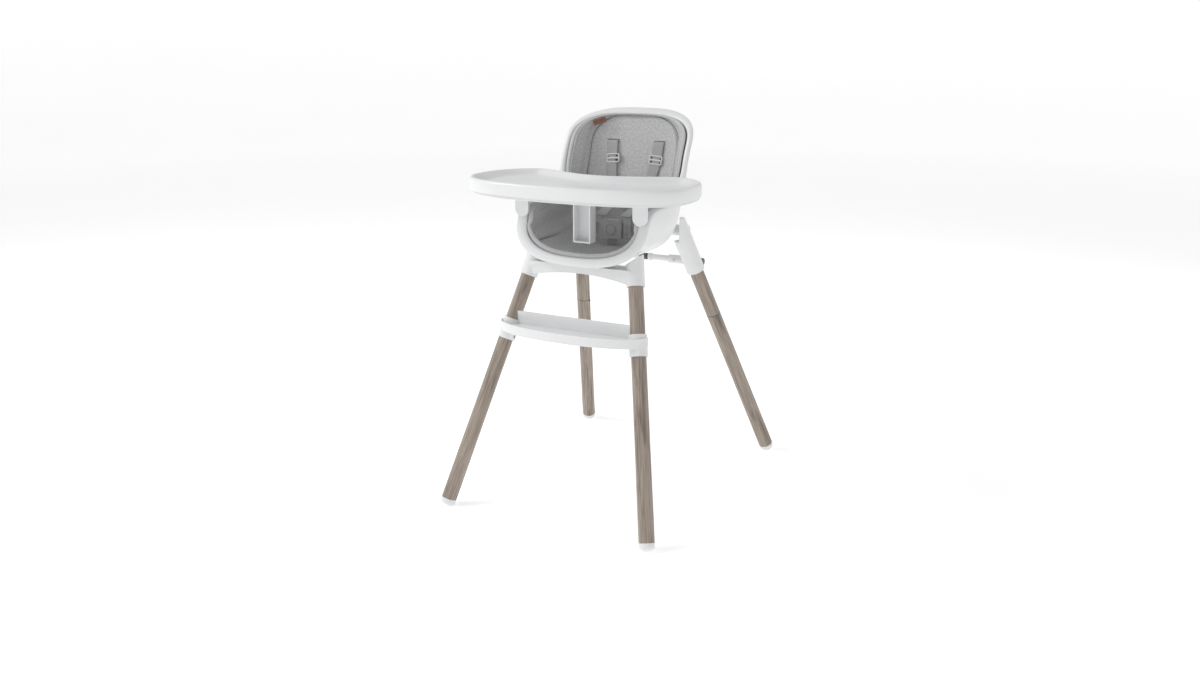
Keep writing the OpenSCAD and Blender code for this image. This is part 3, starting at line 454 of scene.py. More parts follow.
def steel_finish(name):
    """Brushed steel: fine lines that vary the gloss."""
    mat, tree, shader, add = new_finish(name)
    place = add("ShaderNodeTexCoord").outputs["Object"]
    drawn = add("ShaderNodeMapping", {"Vector": place, "Scale": (1.0, 30.0, 30.0)}).outputs["Vector"]
    lines = add("ShaderNodeTexNoise", {"Vector": drawn, "Scale": 60.0, "Detail": 4.0}).outputs["Fac"]
    rough = add("ShaderNodeMapRange", {"Value": lines, "To Min": 0.22, "To Max": 0.42})
    tree.links.new(rough.outputs["Result"], shader.inputs["Roughness"])
    brushed = ramp(add, lines, [(0.3, (0.5, 0.5, 0.51)), (0.7, (0.66, 0.66, 0.67))])
    tree.links.new(brushed, shader.inputs["Base Color"])
    shader.inputs["Metallic"].default_value = 1.0
    return mat


FINISHES = {}


def finish(name):
    """The named finish, made once from the colours in the panel."""
    if name not in FINISHES:
        c = bpy.context.scene.chair_colours
        makers = {
            "white": lambda: plastic_finish("white_plastic", tuple(c.white)),
            "fitting": lambda: plastic_finish("fitting_plastic", tuple(c.fitting), rough=0.42, coat=0.05),
            # Buckle grey: partly its own colour, partly painted shade.
            "buckle": lambda: plastic_finish("buckle_plastic_and_painted_shade", tuple(c.buckle), rough=0.4, coat=0.05),
            # Real dark plastic, and also the painted shade of the slot, hollow and groove pieces.
            "dark": lambda: plastic_finish("dark_plastic", tuple(c.dark), rough=0.45, coat=0.0, grain=0.12),
            "cloth": lambda: cloth_finish("liner_cloth", tuple(c.cloth), tuple(c.yarn)),
            "piping": lambda: cloth_finish("piping_cloth",
                shade(tuple(c.cloth), 1.05), shade(tuple(c.cloth), 0.8)),
            "webbing": lambda: webbing_finish("harness_webbing", tuple(c.webbing)),
            "wood": lambda: wood_finish("leg_grain", tuple(c.wood_light), tuple(c.wood_dark)),
            "leather": lambda: leather_finish("tag_leather", tuple(c.leather)),
            "thread": lambda: webbing_finish("stitch_thread", shade(tuple(c.cloth), 0.85)),
            # Painted shade: colour of the dark cord laid in each seam groove.
            "seam": lambda: webbing_finish("seam_shade_cord", shade(tuple(c.yarn), 0.7)),
            "steel": lambda: steel_finish("brushed_steel"),
        }
        FINISHES[name] = makers[name]()
    return FINISHES[name]


# ---------------------------------------------------------------- the seat's shape


BASE_Z = SHELL_LOW[2]
TOP_Z = SHELL_HIGH[2]
HALF_W = SHELL_HIGH[0]
FRONT_Y = SHELL_LOW[1]
RECLINE = math.radians(9.2)
BEND_R = 110.0
SHELL_WALL = 5.0
RIM_W = 22.0
INNER_TOP = TOP_Z - 11.5
HEEL_Y = FRONT_Y + 309.5
BACK_TURN = math.pi / 2 - RECLINE
TANGENT = BEND_R * math.tan(BACK_TURN / 2)
BEND_Y = HEEL_Y - TANGENT
BEND_LEN = BEND_R * BACK_TURN
FLAT_LEN = BEND_Y - FRONT_Y
SPINE_LEN = FLAT_LEN + BEND_LEN + (TOP_Z - BASE_Z) / math.cos(RECLINE) - TANGENT
TOP_Y = HEEL_Y + (TOP_Z - BASE_Z) * math.tan(RECLINE)
ARM_Z = BASE_Z + 138
WING_Z = BASE_Z + 194
SHOULDER_Z = TOP_Z - 85
RIM_ARCS = np.array([
    [[FRONT_Y + 44, ARM_Z - 32], [FRONT_Y + 54, ARM_Z - 8], [FRONT_Y + 70, ARM_Z - 3], [FRONT_Y + 100, ARM_Z]],
    [[FRONT_Y + 100, ARM_Z], [HEEL_Y - 149.5, ARM_Z - 2], [HEEL_Y - 89.5, ARM_Z + 6], [HEEL_Y - 69.5, WING_Z]],
    [[HEEL_Y - 69.5, WING_Z], [HEEL_Y - 57.5, WING_Z + 35], [TOP_Y - 96, TOP_Z - 30], [TOP_Y, TOP_Z]],
])
FRONT_LINK, BACK_LINK = 60.0, FLAT_LEN + BEND_LEN + 48


def ease(t):
    """0 below 0, 1 above 1, and 3t^2 - 2t^3 between."""
    t = np.clip(t, 0, 1)
    return t * t * (3 - 2 * t)


def spine(length):
    """Centre line of the tub as (y, z): flat, then an arc, then the straight leaning back."""
    turn = (length - FLAT_LEN) / BEND_R
    up = length - FLAT_LEN - BEND_LEN + TANGENT
    y = np.where(length < FLAT_LEN, FRONT_Y + length,
        np.where(length < FLAT_LEN + BEND_LEN, BEND_Y + BEND_R * np.sin(turn), HEEL_Y + up * math.sin(RECLINE)))
    z = np.where(length < FLAT_LEN, BASE_Z,
        np.where(length < FLAT_LEN + BEND_LEN, BASE_Z + BEND_R * (1 - np.cos(turn)), BASE_Z + up * math.cos(RECLINE)))
    return np.stack([y, z], -1)


def rim_line(q):
    """Rim as (y, z): cubic Bezier arcs for the front corner, the arm rest and the wing."""
    arc = np.clip(q.astype(int), 0, 2)
    t = (q - arc)[..., None]
    p = RIM_ARCS[arc]
    return ((1 - t) ** 3 * p[..., 0, :] + 3 * t * (1 - t) ** 2 * p[..., 1, :]
        + 3 * t * t * (1 - t) * p[..., 2, :] + t ** 3 * p[..., 3, :])


def spine_at(q):
    """Length along the spine that goes with a place q on the rim."""
    return np.where(q < 1, FRONT_LINK * q, np.where(q < 2, FRONT_LINK + (BACK_LINK - FRONT_LINK) * (q - 1),
        BACK_LINK + (SPINE_LEN - BACK_LINK) * (q - 2)))


def section_power(q):
    """Power of a section's superellipse: round at the front, squarer up the backrest."""
    return 2.6 + 1.4 * ease((q - 1.9) / 0.6)


def tub_points(q, angle, floor, side, top, retreat=0.0):
    """Points of a tub surface. Each section runs from the spine to the rim along a superellipse that
    narrows towards the back; floor and side are the distances in from the outer surface there."""
    line, lip = spine(spine_at(q)), rim_line(q)
    span = np.linalg.norm(lip - line, axis=-1)
    d = (lip - line) / np.maximum(span, 0.01)[..., None]
    power = section_power(q)
    k = np.clip((lip[..., 1] - SHOULDER_Z) / (top - SHOULDER_Z), 0, 1)
    width = np.maximum(0, HALF_W - side) * np.maximum(0, 1 - k ** 3) ** (1 / 3)
    floor = np.minimum(floor, 0.8 * span)
    rise = 1 - np.maximum(0, np.cos(angle)) ** (2 / power)
    back_off = retreat * ease(span / 40)
    p = line + d * (floor + np.maximum(0, span - floor - back_off) * rise)[..., None]
    narrow = 1 - 0.24 * ease((q - 1.4) / 0.5) * (1 - rise)
    x = np.sign(angle) * width * narrow * np.abs(np.sin(angle)) ** (2 / power)
    return np.stack([x, p[..., 0], p[..., 1]], -1)


def rim_width(q):
    """Width of the rolled rim: broad round the front opening, narrower on the wings and the top."""
    return RIM_W - 7 * ease((q - 1.7) / 0.5)


def wall_at(length, angle, edge_t):
    """Wall: thick along the front lip and the rim, thin elsewhere."""
    front = 1 - ease(length / 30)
    edge = ease((np.degrees(np.abs(angle)) - 62) / 20)
    return SHELL_WALL + (edge_t - SHELL_WALL) * np.maximum(front, edge)


def inner_offsets(q, angle, depth=0.0):
    """Distances in from the outer surface, at the spine and at the side, of a surface that lies
    depth millimetres inside the shell's inner face. The front lip is a little wider than the rim."""
    length, rim = spine_at(q), rim_width(q)
    lip = rim + 5 * np.maximum(0, 1 - length / 30)
    return wall_at(length, angle, rim) + depth, wall_at(length, angle, lip) + depth


def tub_stations(first, top, low_count=84, high_count=34):
    """Rim places from the front to the top, even along the side and then even round the shoulder."""
    table = np.linspace(2, 3, 2001)
    heights = rim_line(table)[:, 1]
    shoulder = np.interp(SHOULDER_Z, heights, table)
    turn = np.linspace(0, np.pi / 2, high_count + 1)[1:]
    z = SHOULDER_Z + (top - SHOULDER_Z) * np.sin(turn) ** (2 / 3)
    return np.concatenate([np.linspace(first, shoulder, low_count), np.interp(z, heights, table)])


def tub_shell(outer, inner, bulge, steps=8):
    """Points and faces of a wall between two grids, its open edge rounded by half an ellipse that
    bulges out of the edge by the given amount. The band's two ends meet at the top of the back."""
    rows, cols = outer.shape[:2]
    points = [outer.reshape(-1, 3), inner.reshape(-1, 3)]
    faces = grid_quads(rows, cols) + grid_quads(rows, cols, start=rows * cols)
    edge = np.concatenate([np.arange(rows - 1, 0, -1) * cols, np.arange(cols),
        np.arange(1, rows) * cols + cols - 1])
    inside = np.concatenate([np.arange(rows - 1, 0, -1) * cols + 1, np.arange(cols) + cols,
        np.arange(1, rows) * cols + cols - 2])
    a, b = points[0][edge], points[1][edge]
    along = unit_rows(np.gradient(a + b, axis=0))
    out = unit_rows(np.cross(along, b - a))
    out *= np.sign(((a - points[0][inside]) * out).sum(-1, keepdims=True) + 1e-12)
    gap = np.linalg.norm(b - a, axis=-1, keepdims=True)
    t = np.linspace(0, np.pi, steps + 1)[1:-1]
    band = ((a + b) / 2)[None] + ((a - b) / 2)[None] * np.cos(t)[:, None, None] \
        + (out * np.minimum(bulge, 0.5 * gap))[None] * np.sin(t)[:, None, None]
    band[:, [0, -1]] = (band[:, :1] + band[:, -1:]) / 2
    start = 2 * rows * cols
    points.append(band.reshape(-1, 3))
    band_ids = start + np.arange(band.shape[0] * len(edge)).reshape(band.shape[0], -1)
    ids = np.vstack([edge, band_ids, rows * cols + edge])
    faces += np.stack([ids[:-1, :-1], ids[:-1, 1:], ids[1:, 1:], ids[1:, :-1]], -1).reshape(-1, 4).tolist()
    return np.vstack(points), faces


def shell_grids(retreat):
    """Outer and inner surface of the moulded shell."""
    angle = np.radians(np.linspace(-90, 90, 121))[None, :]
    outer_q = tub_stations(0.0, TOP_Z)[:, None]
    inner_q = tub_stations(0.0, INNER_TOP)[:, None]
    outer = tub_points(outer_q, angle, 0.0, 0.0, TOP_Z, retreat=retreat)
    floor, side = inner_offsets(inner_q, angle)
    inner = tub_points(inner_q, angle, floor, side, INNER_TOP, retreat=retreat)
    return outer, inner


LINER_BACK = 1.0
LINER_FACE = 12.0
LINER_EDGE_ROUND = 3.0
LINER_TOP = TOP_Z - 12.5
LINER_FIRST = 0.16
LINER_CORE = 78.0
LINER_SHARE = 0.86
LINER_REACH = 0.955
LINER_COLUMNS = 109
SEAM_AT = 34 / 54
SEAM_DEPTH = 2.2
BESIDE_SEAM = 0.055
STITCH_LENGTH = 3.4
STITCH_RADIUS = 0.42
STITCH_LIFT = 0.35
LOOSE_SIDE = (0.2, 0.6, 0.75)
SLOT_PLACE = (65.0, 874.0)
OVER_SEAT = np.array([0, -60, 800])


def liner_angles(q):
    """Angles across each section: even from the middle to the seam and from there to the core angle,
    then such that the height left to the rim shrinks evenly until the liner has climbed its full
    reach. The seam sits lower on the seat than it does on the backrest."""
    t = np.linspace(-1, 1, LINER_COLUMNS)[None, :]
    power = section_power(q)
    low = 1 - math.cos(math.radians(LINER_CORE)) ** (2 / power)
    rise = low + (LINER_REACH - low) * (np.abs(t) - LINER_SHARE) / (1 - LINER_SHARE)
    steep = np.arccos(np.clip(1 - rise, 0, 1) ** (power / 2))
    seam = 46 + 13 * ease((q - 1.2) / 0.9)
    inner = seam * np.abs(t) / SEAM_AT
    outer = seam + (LINER_CORE - seam) * (np.abs(t) - SEAM_AT) / (LINER_SHARE - SEAM_AT)
    core = np.radians(np.where(np.abs(t) <= SEAM_AT, inner, outer))
    return np.sign(t) * np.where(np.abs(t) <= LINER_SHARE, core, steep)


def liner_grid(depth):
    """Surface of the liner, depth millimetres inside the shell's inner face."""
    q = tub_stations(LINER_FIRST, LINER_TOP, 78, 26)[:, None]
    angle = liner_angles(q)
    floor, side = inner_offsets(q, angle, depth)
    return tub_points(q, angle, floor, side, LINER_TOP)


def settle_filling(points, faces, pinned, sizes):
    """Swells the liner a little with the cloth solver, held along its seams. Returns the moved points."""
    mesh = bpy.data.meshes.new("filling")
    mesh.from_pydata((points * MM).tolist(), [], faces)
    trial = bpy.data.objects.new("filling", mesh)
    scene = bpy.context.scene
    scene.collection.objects.link(trial)
    group = trial.vertex_groups.new(name="sewn")
    group.add(np.flatnonzero(pinned).tolist(), 1.0, "REPLACE")
    cloth = trial.modifiers.new("Cloth", "CLOTH")
    s = cloth.settings
    s.quality = 4
    s.mass = 0.25
    s.tension_stiffness = s.compression_stiffness = 12
    s.shear_stiffness = 6
    s.bending_stiffness = 0.6
    s.use_pressure = True
    s.uniform_pressure_force = sizes.pressure
    s.vertex_group_mass = "sewn"
    s.effector_weights.gravity = 0
    for number in range(1, sizes.sim_frames + 1):
        scene.frame_set(number)
    settled = trial.evaluated_get(bpy.context.evaluated_depsgraph_get())
    moved = np.zeros(len(mesh.vertices) * 3, np.float32)
    settled.data.vertices.foreach_get("co", moved)
    scene.frame_set(1)
    bpy.data.objects.remove(trial)
    bpy.data.meshes.remove(mesh)
    return moved.reshape(-1, 3).astype(float) / MM


def grid_normals(grid):
    """Unit normals of a grid of points, by the cross product of its two directions."""
    return unit_rows(np.cross(np.gradient(grid, axis=0), np.gradient(grid, axis=1)))


def arc_pattern(grid):
    """Distance across each row and along the middle column, so that a weave keeps its scale."""
    across = np.concatenate([np.zeros((grid.shape[0], 1)),
        np.cumsum(np.linalg.norm(np.diff(grid, axis=1), axis=-1), 1)], 1)
    across -= across[:, grid.shape[1] // 2][:, None]
    middle = grid[:, grid.shape[1] // 2]
    along = np.concatenate([[0], np.cumsum(np.linalg.norm(np.diff(middle, axis=0), axis=-1))])
    return np.stack([across, np.broadcast_to(along[:, None], across.shape), 0 * across], -1)


def capsules(starts, ends, radius, sides=6):
    """Points and faces of many small round-ended rods, all worked out at once."""
    t = unit_rows(ends - starts)
    s = unit_rows(np.cross(t, np.array([0.31, 0.52, 0.79])))
    n = np.cross(t, s)
    a = np.linspace(0, 2 * np.pi, sides, endpoint=False)
    lengths = np.linalg.norm(ends - starts, axis=-1)
    places = np.array([0.0, 0.12, 0.5, 0.88, 1.0])
    widths = np.array([0.35, 0.85, 1.0, 0.85, 0.35]) * radius
    cos, sin = np.cos(a)[None, None, :, None], np.sin(a)[None, None, :, None]
    ring = s[:, None, None] * cos + n[:, None, None] * sin
    mid = starts[:, None, None] + t[:, None, None] * (lengths[:, None] * places[None])[:, :, None, None]
    points = mid + ring * widths[None, :, None, None]
    one = loft(points[0])
    count = points.shape[1] * sides
    faces = [[v + k * count for v in f] for k in range(len(starts)) for f in one]
    return points.reshape(-1, 3), faces, np.zeros(points.shape)


def stitch_run(path, normals, pitch, length, lift):
    """Starts and ends of stitches set evenly along a path, lifted off its surface."""
    along = distances(path)
    at = np.arange(pitch, along[-1] - pitch, pitch)
    raised = path + normals * lift

    def pick(where):
        return np.stack([np.interp(where, along, raised[:, k]) for k in range(3)], -1)

    return pick(at), pick(at + length)


# ---------------------------------------------------------------- operators


class MakeShell(Operator):
    """Moulded tub shell with a rolled rim"""

    bl_idname = "high_chair.make_shell"
    bl_label = "Seat Shell"

    def execute(self, context):
        bulge = context.scene.seat_sizes.rim_round / MM
        outer, inner = shell_grids(bulge)
        points, faces = tub_shell(outer, inner, bulge)
        new_piece("moulded_shell", points, faces, finish("white"), "seat", ["seat_shell"])
        return {"FINISHED"}


class MakeLiner(Operator):
    """Padded liner with sewn seams, piping, stitching, strap slots and its tag"""

    bl_idname = "high_chair.make_liner"
    bl_label = "Seat Liner"

    def execute(self, context):
        sizes = context.scene.seat_sizes
        back, face = liner_grid(LINER_BACK), liner_grid(LINER_FACE)
        rows, cols = face.shape[:2]
        points, faces = tub_shell(back, face, LINER_EDGE_ROUND, steps=6)
        t = np.linspace(-1, 1, cols)
        front = np.arange(rows * cols, 2 * rows * cols)
        seam_off = np.abs(np.abs(t) - SEAM_AT) * (cols - 1) / 2
        pinned = np.ones(len(points), bool)
        free = np.ones((rows, cols), bool)
        free[:2] = free[-3:] = False
        free[:, :2] = free[:, -2:] = False
        free[:, seam_off < 0.5] = False
        pinned[front] = ~free.ravel()
        moved = settle_filling(points, faces, pinned, sizes)
        shift = moved - points
        size = np.linalg.norm(shift, axis=-1, keepdims=True)
        cap = sizes.puff / MM
        shift *= np.minimum(1, cap / np.maximum(size, 1e-9))
        shift[pinned] = 0
        points = points + shift
        face = points[front].reshape(rows, cols, 3)
        normals = grid_normals(face)
        inside, outward = face[rows // 3, cols // 2], normals[rows // 3, cols // 2]
        if np.linalg.norm(inside + outward - OVER_SEAT) > np.linalg.norm(inside - OVER_SEAT):
            normals = -normals
        rows_in = ease(np.arange(rows) / 5.0) * ease((rows - 1 - np.arange(rows)) / 6.0)
        groove = SEAM_DEPTH * np.exp(-(seam_off / 1.1) ** 2)[None, :] * rows_in[:, None]
        face = face - normals * groove[..., None]
        points[front] = face.reshape(-1, 3)
        pattern = np.zeros_like(points)
        pattern[: rows * cols] = arc_pattern(back).reshape(-1, 3)
        pattern[front] = arc_pattern(face).reshape(-1, 3)
        pad = new_piece("liner", points, faces, finish("cloth"), "seat", ["seat_pad"],
            pattern=pattern, levels=1)
        self.add_piping(face, normals, sizes)
        self.add_stitches(face, normals, t, sizes)
        self.add_seam_shade_cords(face, normals, t)
        self.add_slots(face, normals)
        self.add_tag()
        return {"FINISHED"}

    def add_piping(self, face, normals, sizes):
        """A cord carried round the edge of the liner's face."""
        edge = np.vstack([face[:1:-1, 1], face[1, 1:-1], face[2:, -2]])
        out = np.vstack([normals[:1:-1, 1], normals[1, 1:-1], normals[2:, -2]])
        keep = np.concatenate([[True], np.linalg.norm(np.diff(edge, axis=0), axis=1) > 0.4])
        path = edge[keep] + out[keep] * 0.6
        path = smoothed_path(path, 520)
        rings = swept(path, round_profile(sizes.piping / MM, 10), LOOSE_SIDE)
        along = distances(path)
        pattern = np.stack([np.broadcast_to(np.arange(10) * 1.5, rings.shape[:2]),
            np.broadcast_to(along[:, None], rings.shape[:2]), np.zeros(rings.shape[:2])], -1)
        new_piece("liner_piping", rings, loft(rings), finish("piping"), "seat", pattern=pattern)

    def add_seam_shade_cords(self, face, normals, t):
        """A thin dark cord in the groove where the backrest panel meets each wing, painted shade for the groove's
        shadow.
        """
        for side, name in SIDES:
            j = int(np.argmin(np.abs(t - side * SEAM_AT)))
            path = smoothed_path(face[4:-5:3, j] + normals[4:-5:3, j] * 0.7, 260)
            rings = swept(path, round_profile(1.0, 8), LOOSE_SIDE)
            new_piece("seam_" + name, rings, loft(rings), finish("seam"), "seat", pattern=rings)

    def add_stitches(self, face, normals, t, sizes):
        """Rows of stitches inside the edge and beside each seam."""
        columns = [int(np.argmin(np.abs(t - line)))
            for line in (t[5], t[-6], -SEAM_AT + BESIDE_SEAM, SEAM_AT - BESIDE_SEAM)]
        lines = [(face[3:-4, j], normals[3:-4, j]) for j in columns] + [(face[5, 6:-6], normals[5, 6:-6])]
        runs = [stitch_run(path, out, sizes.stitch_pitch / MM, STITCH_LENGTH, STITCH_LIFT) for path, out in lines]
        starts, ends = (np.vstack([run[k] for run in runs]) for k in (0, 1))
        points, faces, pattern = capsules(starts, ends, STITCH_RADIUS)
        new_piece("liner_stitches", points, faces, finish("thread"), "seat", pattern=pattern)

    def add_slots(self, face, normals):
        """A bound slot for each shoulder strap: a stitched ring round a dark plate, painted shade for the gap."""
        for side, name in SIDES:
            centre, normal = nearest_on(face, normals, (side * SLOT_PLACE[0], SLOT_PLACE[1]))
            across = unit_rows(np.array([1.0, 0, 0]) - normal * normal[0])
            up = np.cross(normal, across)
            ring = superellipse(18.5, 3.6, 6.0, 72)
            path = centre + normal * 0.4 + across * ring[:, :1] + up * ring[:, 1:]
            rings = swept(path, round_profile(1.1, 8), normal, closed=True)
            faces = grid_quads(len(path), 8, wrap_rows=True, wrap_cols=True)
            new_piece("slot_binding_" + name, rings, faces, finish("thread"), "seat",
                pattern=rings)
            # Painted shade: a dark plate set in the slot, where the gap would show only shadow.
            gap = superellipse(17.6, 2.9, 6.0, 48)
            shade_plate = np.stack([centre + normal * lift + across * gap[:, :1] * k + up * gap[:, 1:] * k
                for lift, k in ((-1.2, 1.0), (0.25, 1.0), (0.45, 0.96))])
            new_piece("slot_shade_" + name, shade_plate, loft(shade_plate), finish("dark"), "seat")

    def add_tag(self):
        """A leather tag sewn to the top of the liner, with no lettering."""
        low, high = corners_mm("pad_tag")
        centre = (low + high) / 2 - np.array([0.0, 4.0, 0.0])
        yaw, lean, tilt = math.radians(17), -RECLINE, math.radians(-17)
        rz = np.array([[math.cos(yaw), -math.sin(yaw), 0], [math.sin(yaw), math.cos(yaw), 0], [0, 0, 1]])
        rx = np.array([[1, 0, 0], [0, math.cos(lean), -math.sin(lean)], [0, math.sin(lean), math.cos(lean)]])
        ry = np.array([[math.cos(tilt), 0, math.sin(tilt)], [0, 1, 0], [-math.sin(tilt), 0, math.cos(tilt)]])
        turn = rz @ rx @ ry
        points = pillow(centre, (17.5, 1.2, 7.2), power=(9.0, 2.6), rows=14, cols=72, tilt=turn)
        new_piece("sewn_tag", points, loft(points), finish("leather"), "seat", ["pad_tag"])
        ring = superellipse(15.2, 4.9, 10.0, 96)
        path = centre + (np.stack([ring[:, 0], np.full(96, -1.0), ring[:, 1]], -1) @ turn.T)
        path = np.vstack([path, path[:1]])
        a, b = stitch_run(path, np.zeros_like(path), 2.6, 1.6, 0)
        points, faces, pattern = capsules(a, b, 0.28)
        new_piece("tag_stitches", points, faces, finish("thread"), "seat", pattern=pattern)


def nearest_on(face, normals, target):
    """Point and normal of a surface whose x and z are nearest a target, on the backrest."""
    half = face.shape[0] // 2
    flat = face[half:].reshape(-1, 3)
    off = (flat[:, 0] - target[0]) ** 2 + (flat[:, 2] - target[1]) ** 2
    k = int(np.argmin(off + 1e4 * (flat[:, 1] < 60)))
    return flat[k], normals[half:].reshape(-1, 3)[k]


def strap_rings(path, width, thick, side=(1.0, 0.0, 0.0)):
    """A strap: a flat profile with round selvedges carried along its path, with its weave pattern."""
    profile = superellipse(width / 2, thick / 2, 5.0, 28)
    rings = swept(path, profile, side)
    along = distances(path)
    pattern = np.stack([np.broadcast_to(profile[:, 0], rings.shape[:2]),
        np.broadcast_to(along[:, None], rings.shape[:2]), np.zeros(rings.shape[:2])], -1)
    return rings, pattern


class MakeHarness(Operator):
    """Harness webbing with its adjusters, tongues and buckle"""

    bl_idname = "high_chair.make_harness"
    bl_label = "Harness"

    def execute(self, context):
        for side, name in SIDES:
            self.add_shoulder_strap(side, name)
            self.add_waist_strap(side, name)
            self.add_adjuster(side, name)
            finished_copy("buckle_tongue_" + name, finish("buckle"), bevel=0.9)
        low, high = corners_mm("crotch_strap")
        x, y = 0.0, (low[1] + high[1]) / 2
        path = smoothed_path([(x, y, low[2]), (x, y - 0.6, (low[2] + high[2]) / 2), (x, y, high[2])], 16)
        rings, pattern = strap_rings(path, high[0] - low[0], 1.8)
        new_piece("crotch_webbing", rings, loft(rings), finish("webbing"), "seat", ["crotch_strap"],
            pattern=pattern)
        self.add_buckle()
        return {"FINISHED"}

    def add_shoulder_strap(self, side, name):
        """Out of its slot, down the backrest and forward to the tongue. The right one leans further in."""
        low, high = corners_mm("shoulder_strap_" + name)
        y0, z0, y1, z1 = high[1], high[2], low[1], low[2]
        lean = math.tan(RECLINE)
        inward = 0.0 if side < 0 else 9.0
        points = [(side * 65, y0 + 9, z0 + 1.5), (side * 65, y0 + 1, z0 + 0.5), (side * 65, y0 - 3, z0 - 6),
            (side * (64 - inward * 0.3), y0 - 3 - 40 * lean, z0 - 46),
            (side * (60 - inward), y0 - 5 - 86 * lean, z0 - 92),
            (side * (53 - inward), y0 - 14 - 118 * lean, z0 - 128), (side * 42, y0 - 62, z0 - 152),
            (side * 35, y1 + 22, z1 + 8), (side * 34, y1 + 1, z1 + 1)]
        rings, pattern = strap_rings(smoothed_path(points, 110), 28.0, 1.9)
        new_piece("shoulder_webbing_" + name, rings, loft(rings), finish("webbing"), "seat",
            ["shoulder_strap_" + name], pattern=pattern)

    def add_waist_strap(self, side, name):
        """From the tongue back to the side of the liner, with a slight sag."""
        low, high = corners_mm("waist_strap_" + name)
        inner, outer = (high[0], low[0]) if side < 0 else (low[0], high[0])
        z = (low[2] + high[2]) / 2
        points = [(inner, low[1] + 1, z), ((inner * 2 + outer) / 3, low[1] + 12, z - 3),
            ((inner + 2 * outer) / 3, high[1] - 13, z - 3), (outer, high[1] - 1, z)]
        rings, pattern = strap_rings(smoothed_path(points, 40), 27.0, 1.9, side=(0, 0, 1.0))
        new_piece("waist_webbing_" + name, rings, loft(rings), finish("webbing"), "seat",
            ["waist_strap_" + name], pattern=pattern)

    def add_adjuster(self, side, name):
        """A ladder-lock: a rounded frame with a middle bar, square to its strap, with a dark plate of painted shade
        in each of its two slots.
        """
        low, high = corners_mm("strap_adjuster_" + name)
        centre = (low + high) / 2
        down = unit_rows(np.array([-0.0937 * side, -0.1732, -0.9804]))
        across = unit_rows(np.array([1.0, 0, 0]) - down * down[0])
        out = np.cross(across, down)
        out *= -np.sign(out[1])
        ring = superellipse(17.0, 10.4, 7.0, 96)
        path = centre + across * ring[:, :1] - down * ring[:, 1:] + out * 1.4
        rings = swept(path, superellipse(2.3, 2.0, 2.6, 14), out, closed=True)
        faces = grid_quads(96, 14, wrap_rows=True, wrap_cols=True)
        bar = np.linspace(-16.5, 16.5, 24)[:, None] * across + centre + out * 2.0
        bar_rings = swept(bar, superellipse(1.8, 2.3, 2.6, 14), out)
        points = np.vstack([rings.reshape(-1, 3), bar_rings.reshape(-1, 3)])
        faces += [[v + rings.shape[0] * 14 for v in f] for f in loft(bar_rings)]
        # Painted shade: dark plates inside the two slots, where the gaps behind the bars would be in shadow.
        slot_shade_outline = superellipse(14.2, 3.1, 5.0, 48)
        for place in (-5.4, 5.4):
            shade_plate = np.stack([centre - down * place + across * slot_shade_outline[:, :1] + down * slot_shade_outline[:, 1:] + out * lift
                for lift in (0.3, 1.5)])
            level = "upper" if place > 0 else "lower"
            new_piece(f"painted_slot_shade_{name}_{level}", shade_plate, loft(shade_plate), finish("dark"), "adjuster_" + name)
        new_piece("ladder_lock_" + name, points, faces, finish("fitting"), "adjuster_" + name,
            ["strap_adjuster_" + name])

    def add_buckle(self):
        """Rounded body with a raised ring, and a domed push button in it."""
        low, high = corners_mm("buckle_body")
        c = (low + high) / 2
        finished_copy("buckle_body", finish("buckle"), bevel=2.4, segments=4)
        a = np.linspace(0, 2 * np.pi, 72, endpoint=False)

        def circle(radius, y):
            return np.stack([c[0] + radius * np.cos(a), np.full(72, y), c[2] + radius * np.sin(a)], -1)

        rings = swept(circle(14.2, low[1] - 0.2), round_profile(1.5, 12), (0, 1.0, 0), closed=True)
        faces = grid_quads(72, 12, wrap_rows=True, wrap_cols=True)
        new_piece("buckle_ring", rings, faces, finish("buckle"), "seat")
        blow, bhigh = corners_mm("buckle_button")
        radius = (bhigh[0] - blow[0]) / 2
        profile = ((0.25, 1.4), (0.6, 0.9), (0.82, 0.3), (0.93, 0.15), (0.985, 0.6), (1.0, 1.6), (1.0, 6.0))
        rings = np.stack([circle(radius * share, blow[1] + deep) for share, deep in profile])
        new_piece("push_button", rings, loft(rings), finish("buckle"), "buckle_push",
            ["buckle_button"])


# ---------------------------------------------------------------- tray


TRAY_LOW, TRAY_HIGH = corners_mm("tray_cover")
TRAY_MID_Y = -180.0
TRAY_POWER = 2.57
TRAY_BACK_DEPTH = 183.0
DIP_DEPTH = 95.0
DIP_HALF = 210.0
POST_HALF = 23.6
POST_Y = (-180.0, -152.0)
HOOK_X = 141.0
HOOK_Y = (-191.8, -184.2)
FLARE_TOP = TRAY_LOW[2] + 6.0


def tray_outline(steps=240):
    """Superellipse with unlike front and back depths, its back edge pulled in round the child."""
    a = (np.arange(steps) + 0.5) * 2 * np.pi / steps
    c, s = np.cos(a), np.sin(a)
    x = TRAY_HIGH[0] * np.sign(c) * np.abs(c) ** (2 / TRAY_POWER)
    y = np.sign(s) * np.where(s > 0, TRAY_BACK_DEPTH, TRAY_MID_Y - TRAY_LOW[1]) * np.abs(s) ** (2 / TRAY_POWER)
    dip = np.where(s > 0, DIP_DEPTH * np.maximum(0, 1 - (x / DIP_HALF) ** 2) ** 1.5, 0)
    ring = np.stack([x, TRAY_MID_Y + y - dip], -1)
    for _ in range(3):
        ring = 0.5 * ring + 0.25 * (np.roll(ring, 1, 0) + np.roll(ring, -1, 0))
    return ring


def inset_ring(ring, distance):
    """A closed outline moved inwards along its own normals."""
    t = unit_rows(np.roll(ring, -1, 0) - np.roll(ring, 1, 0))
    return ring + distance * np.stack([-t[:, 1], t[:, 0]], -1)


def moulding(ring, profile):
    """Rings of an outline moved in and up by each (distance in, height) of a profile."""
    return np.stack([np.concatenate([inset_ring(ring, d), np.full((len(ring), 1), z)], 1)
        for d, z in profile])


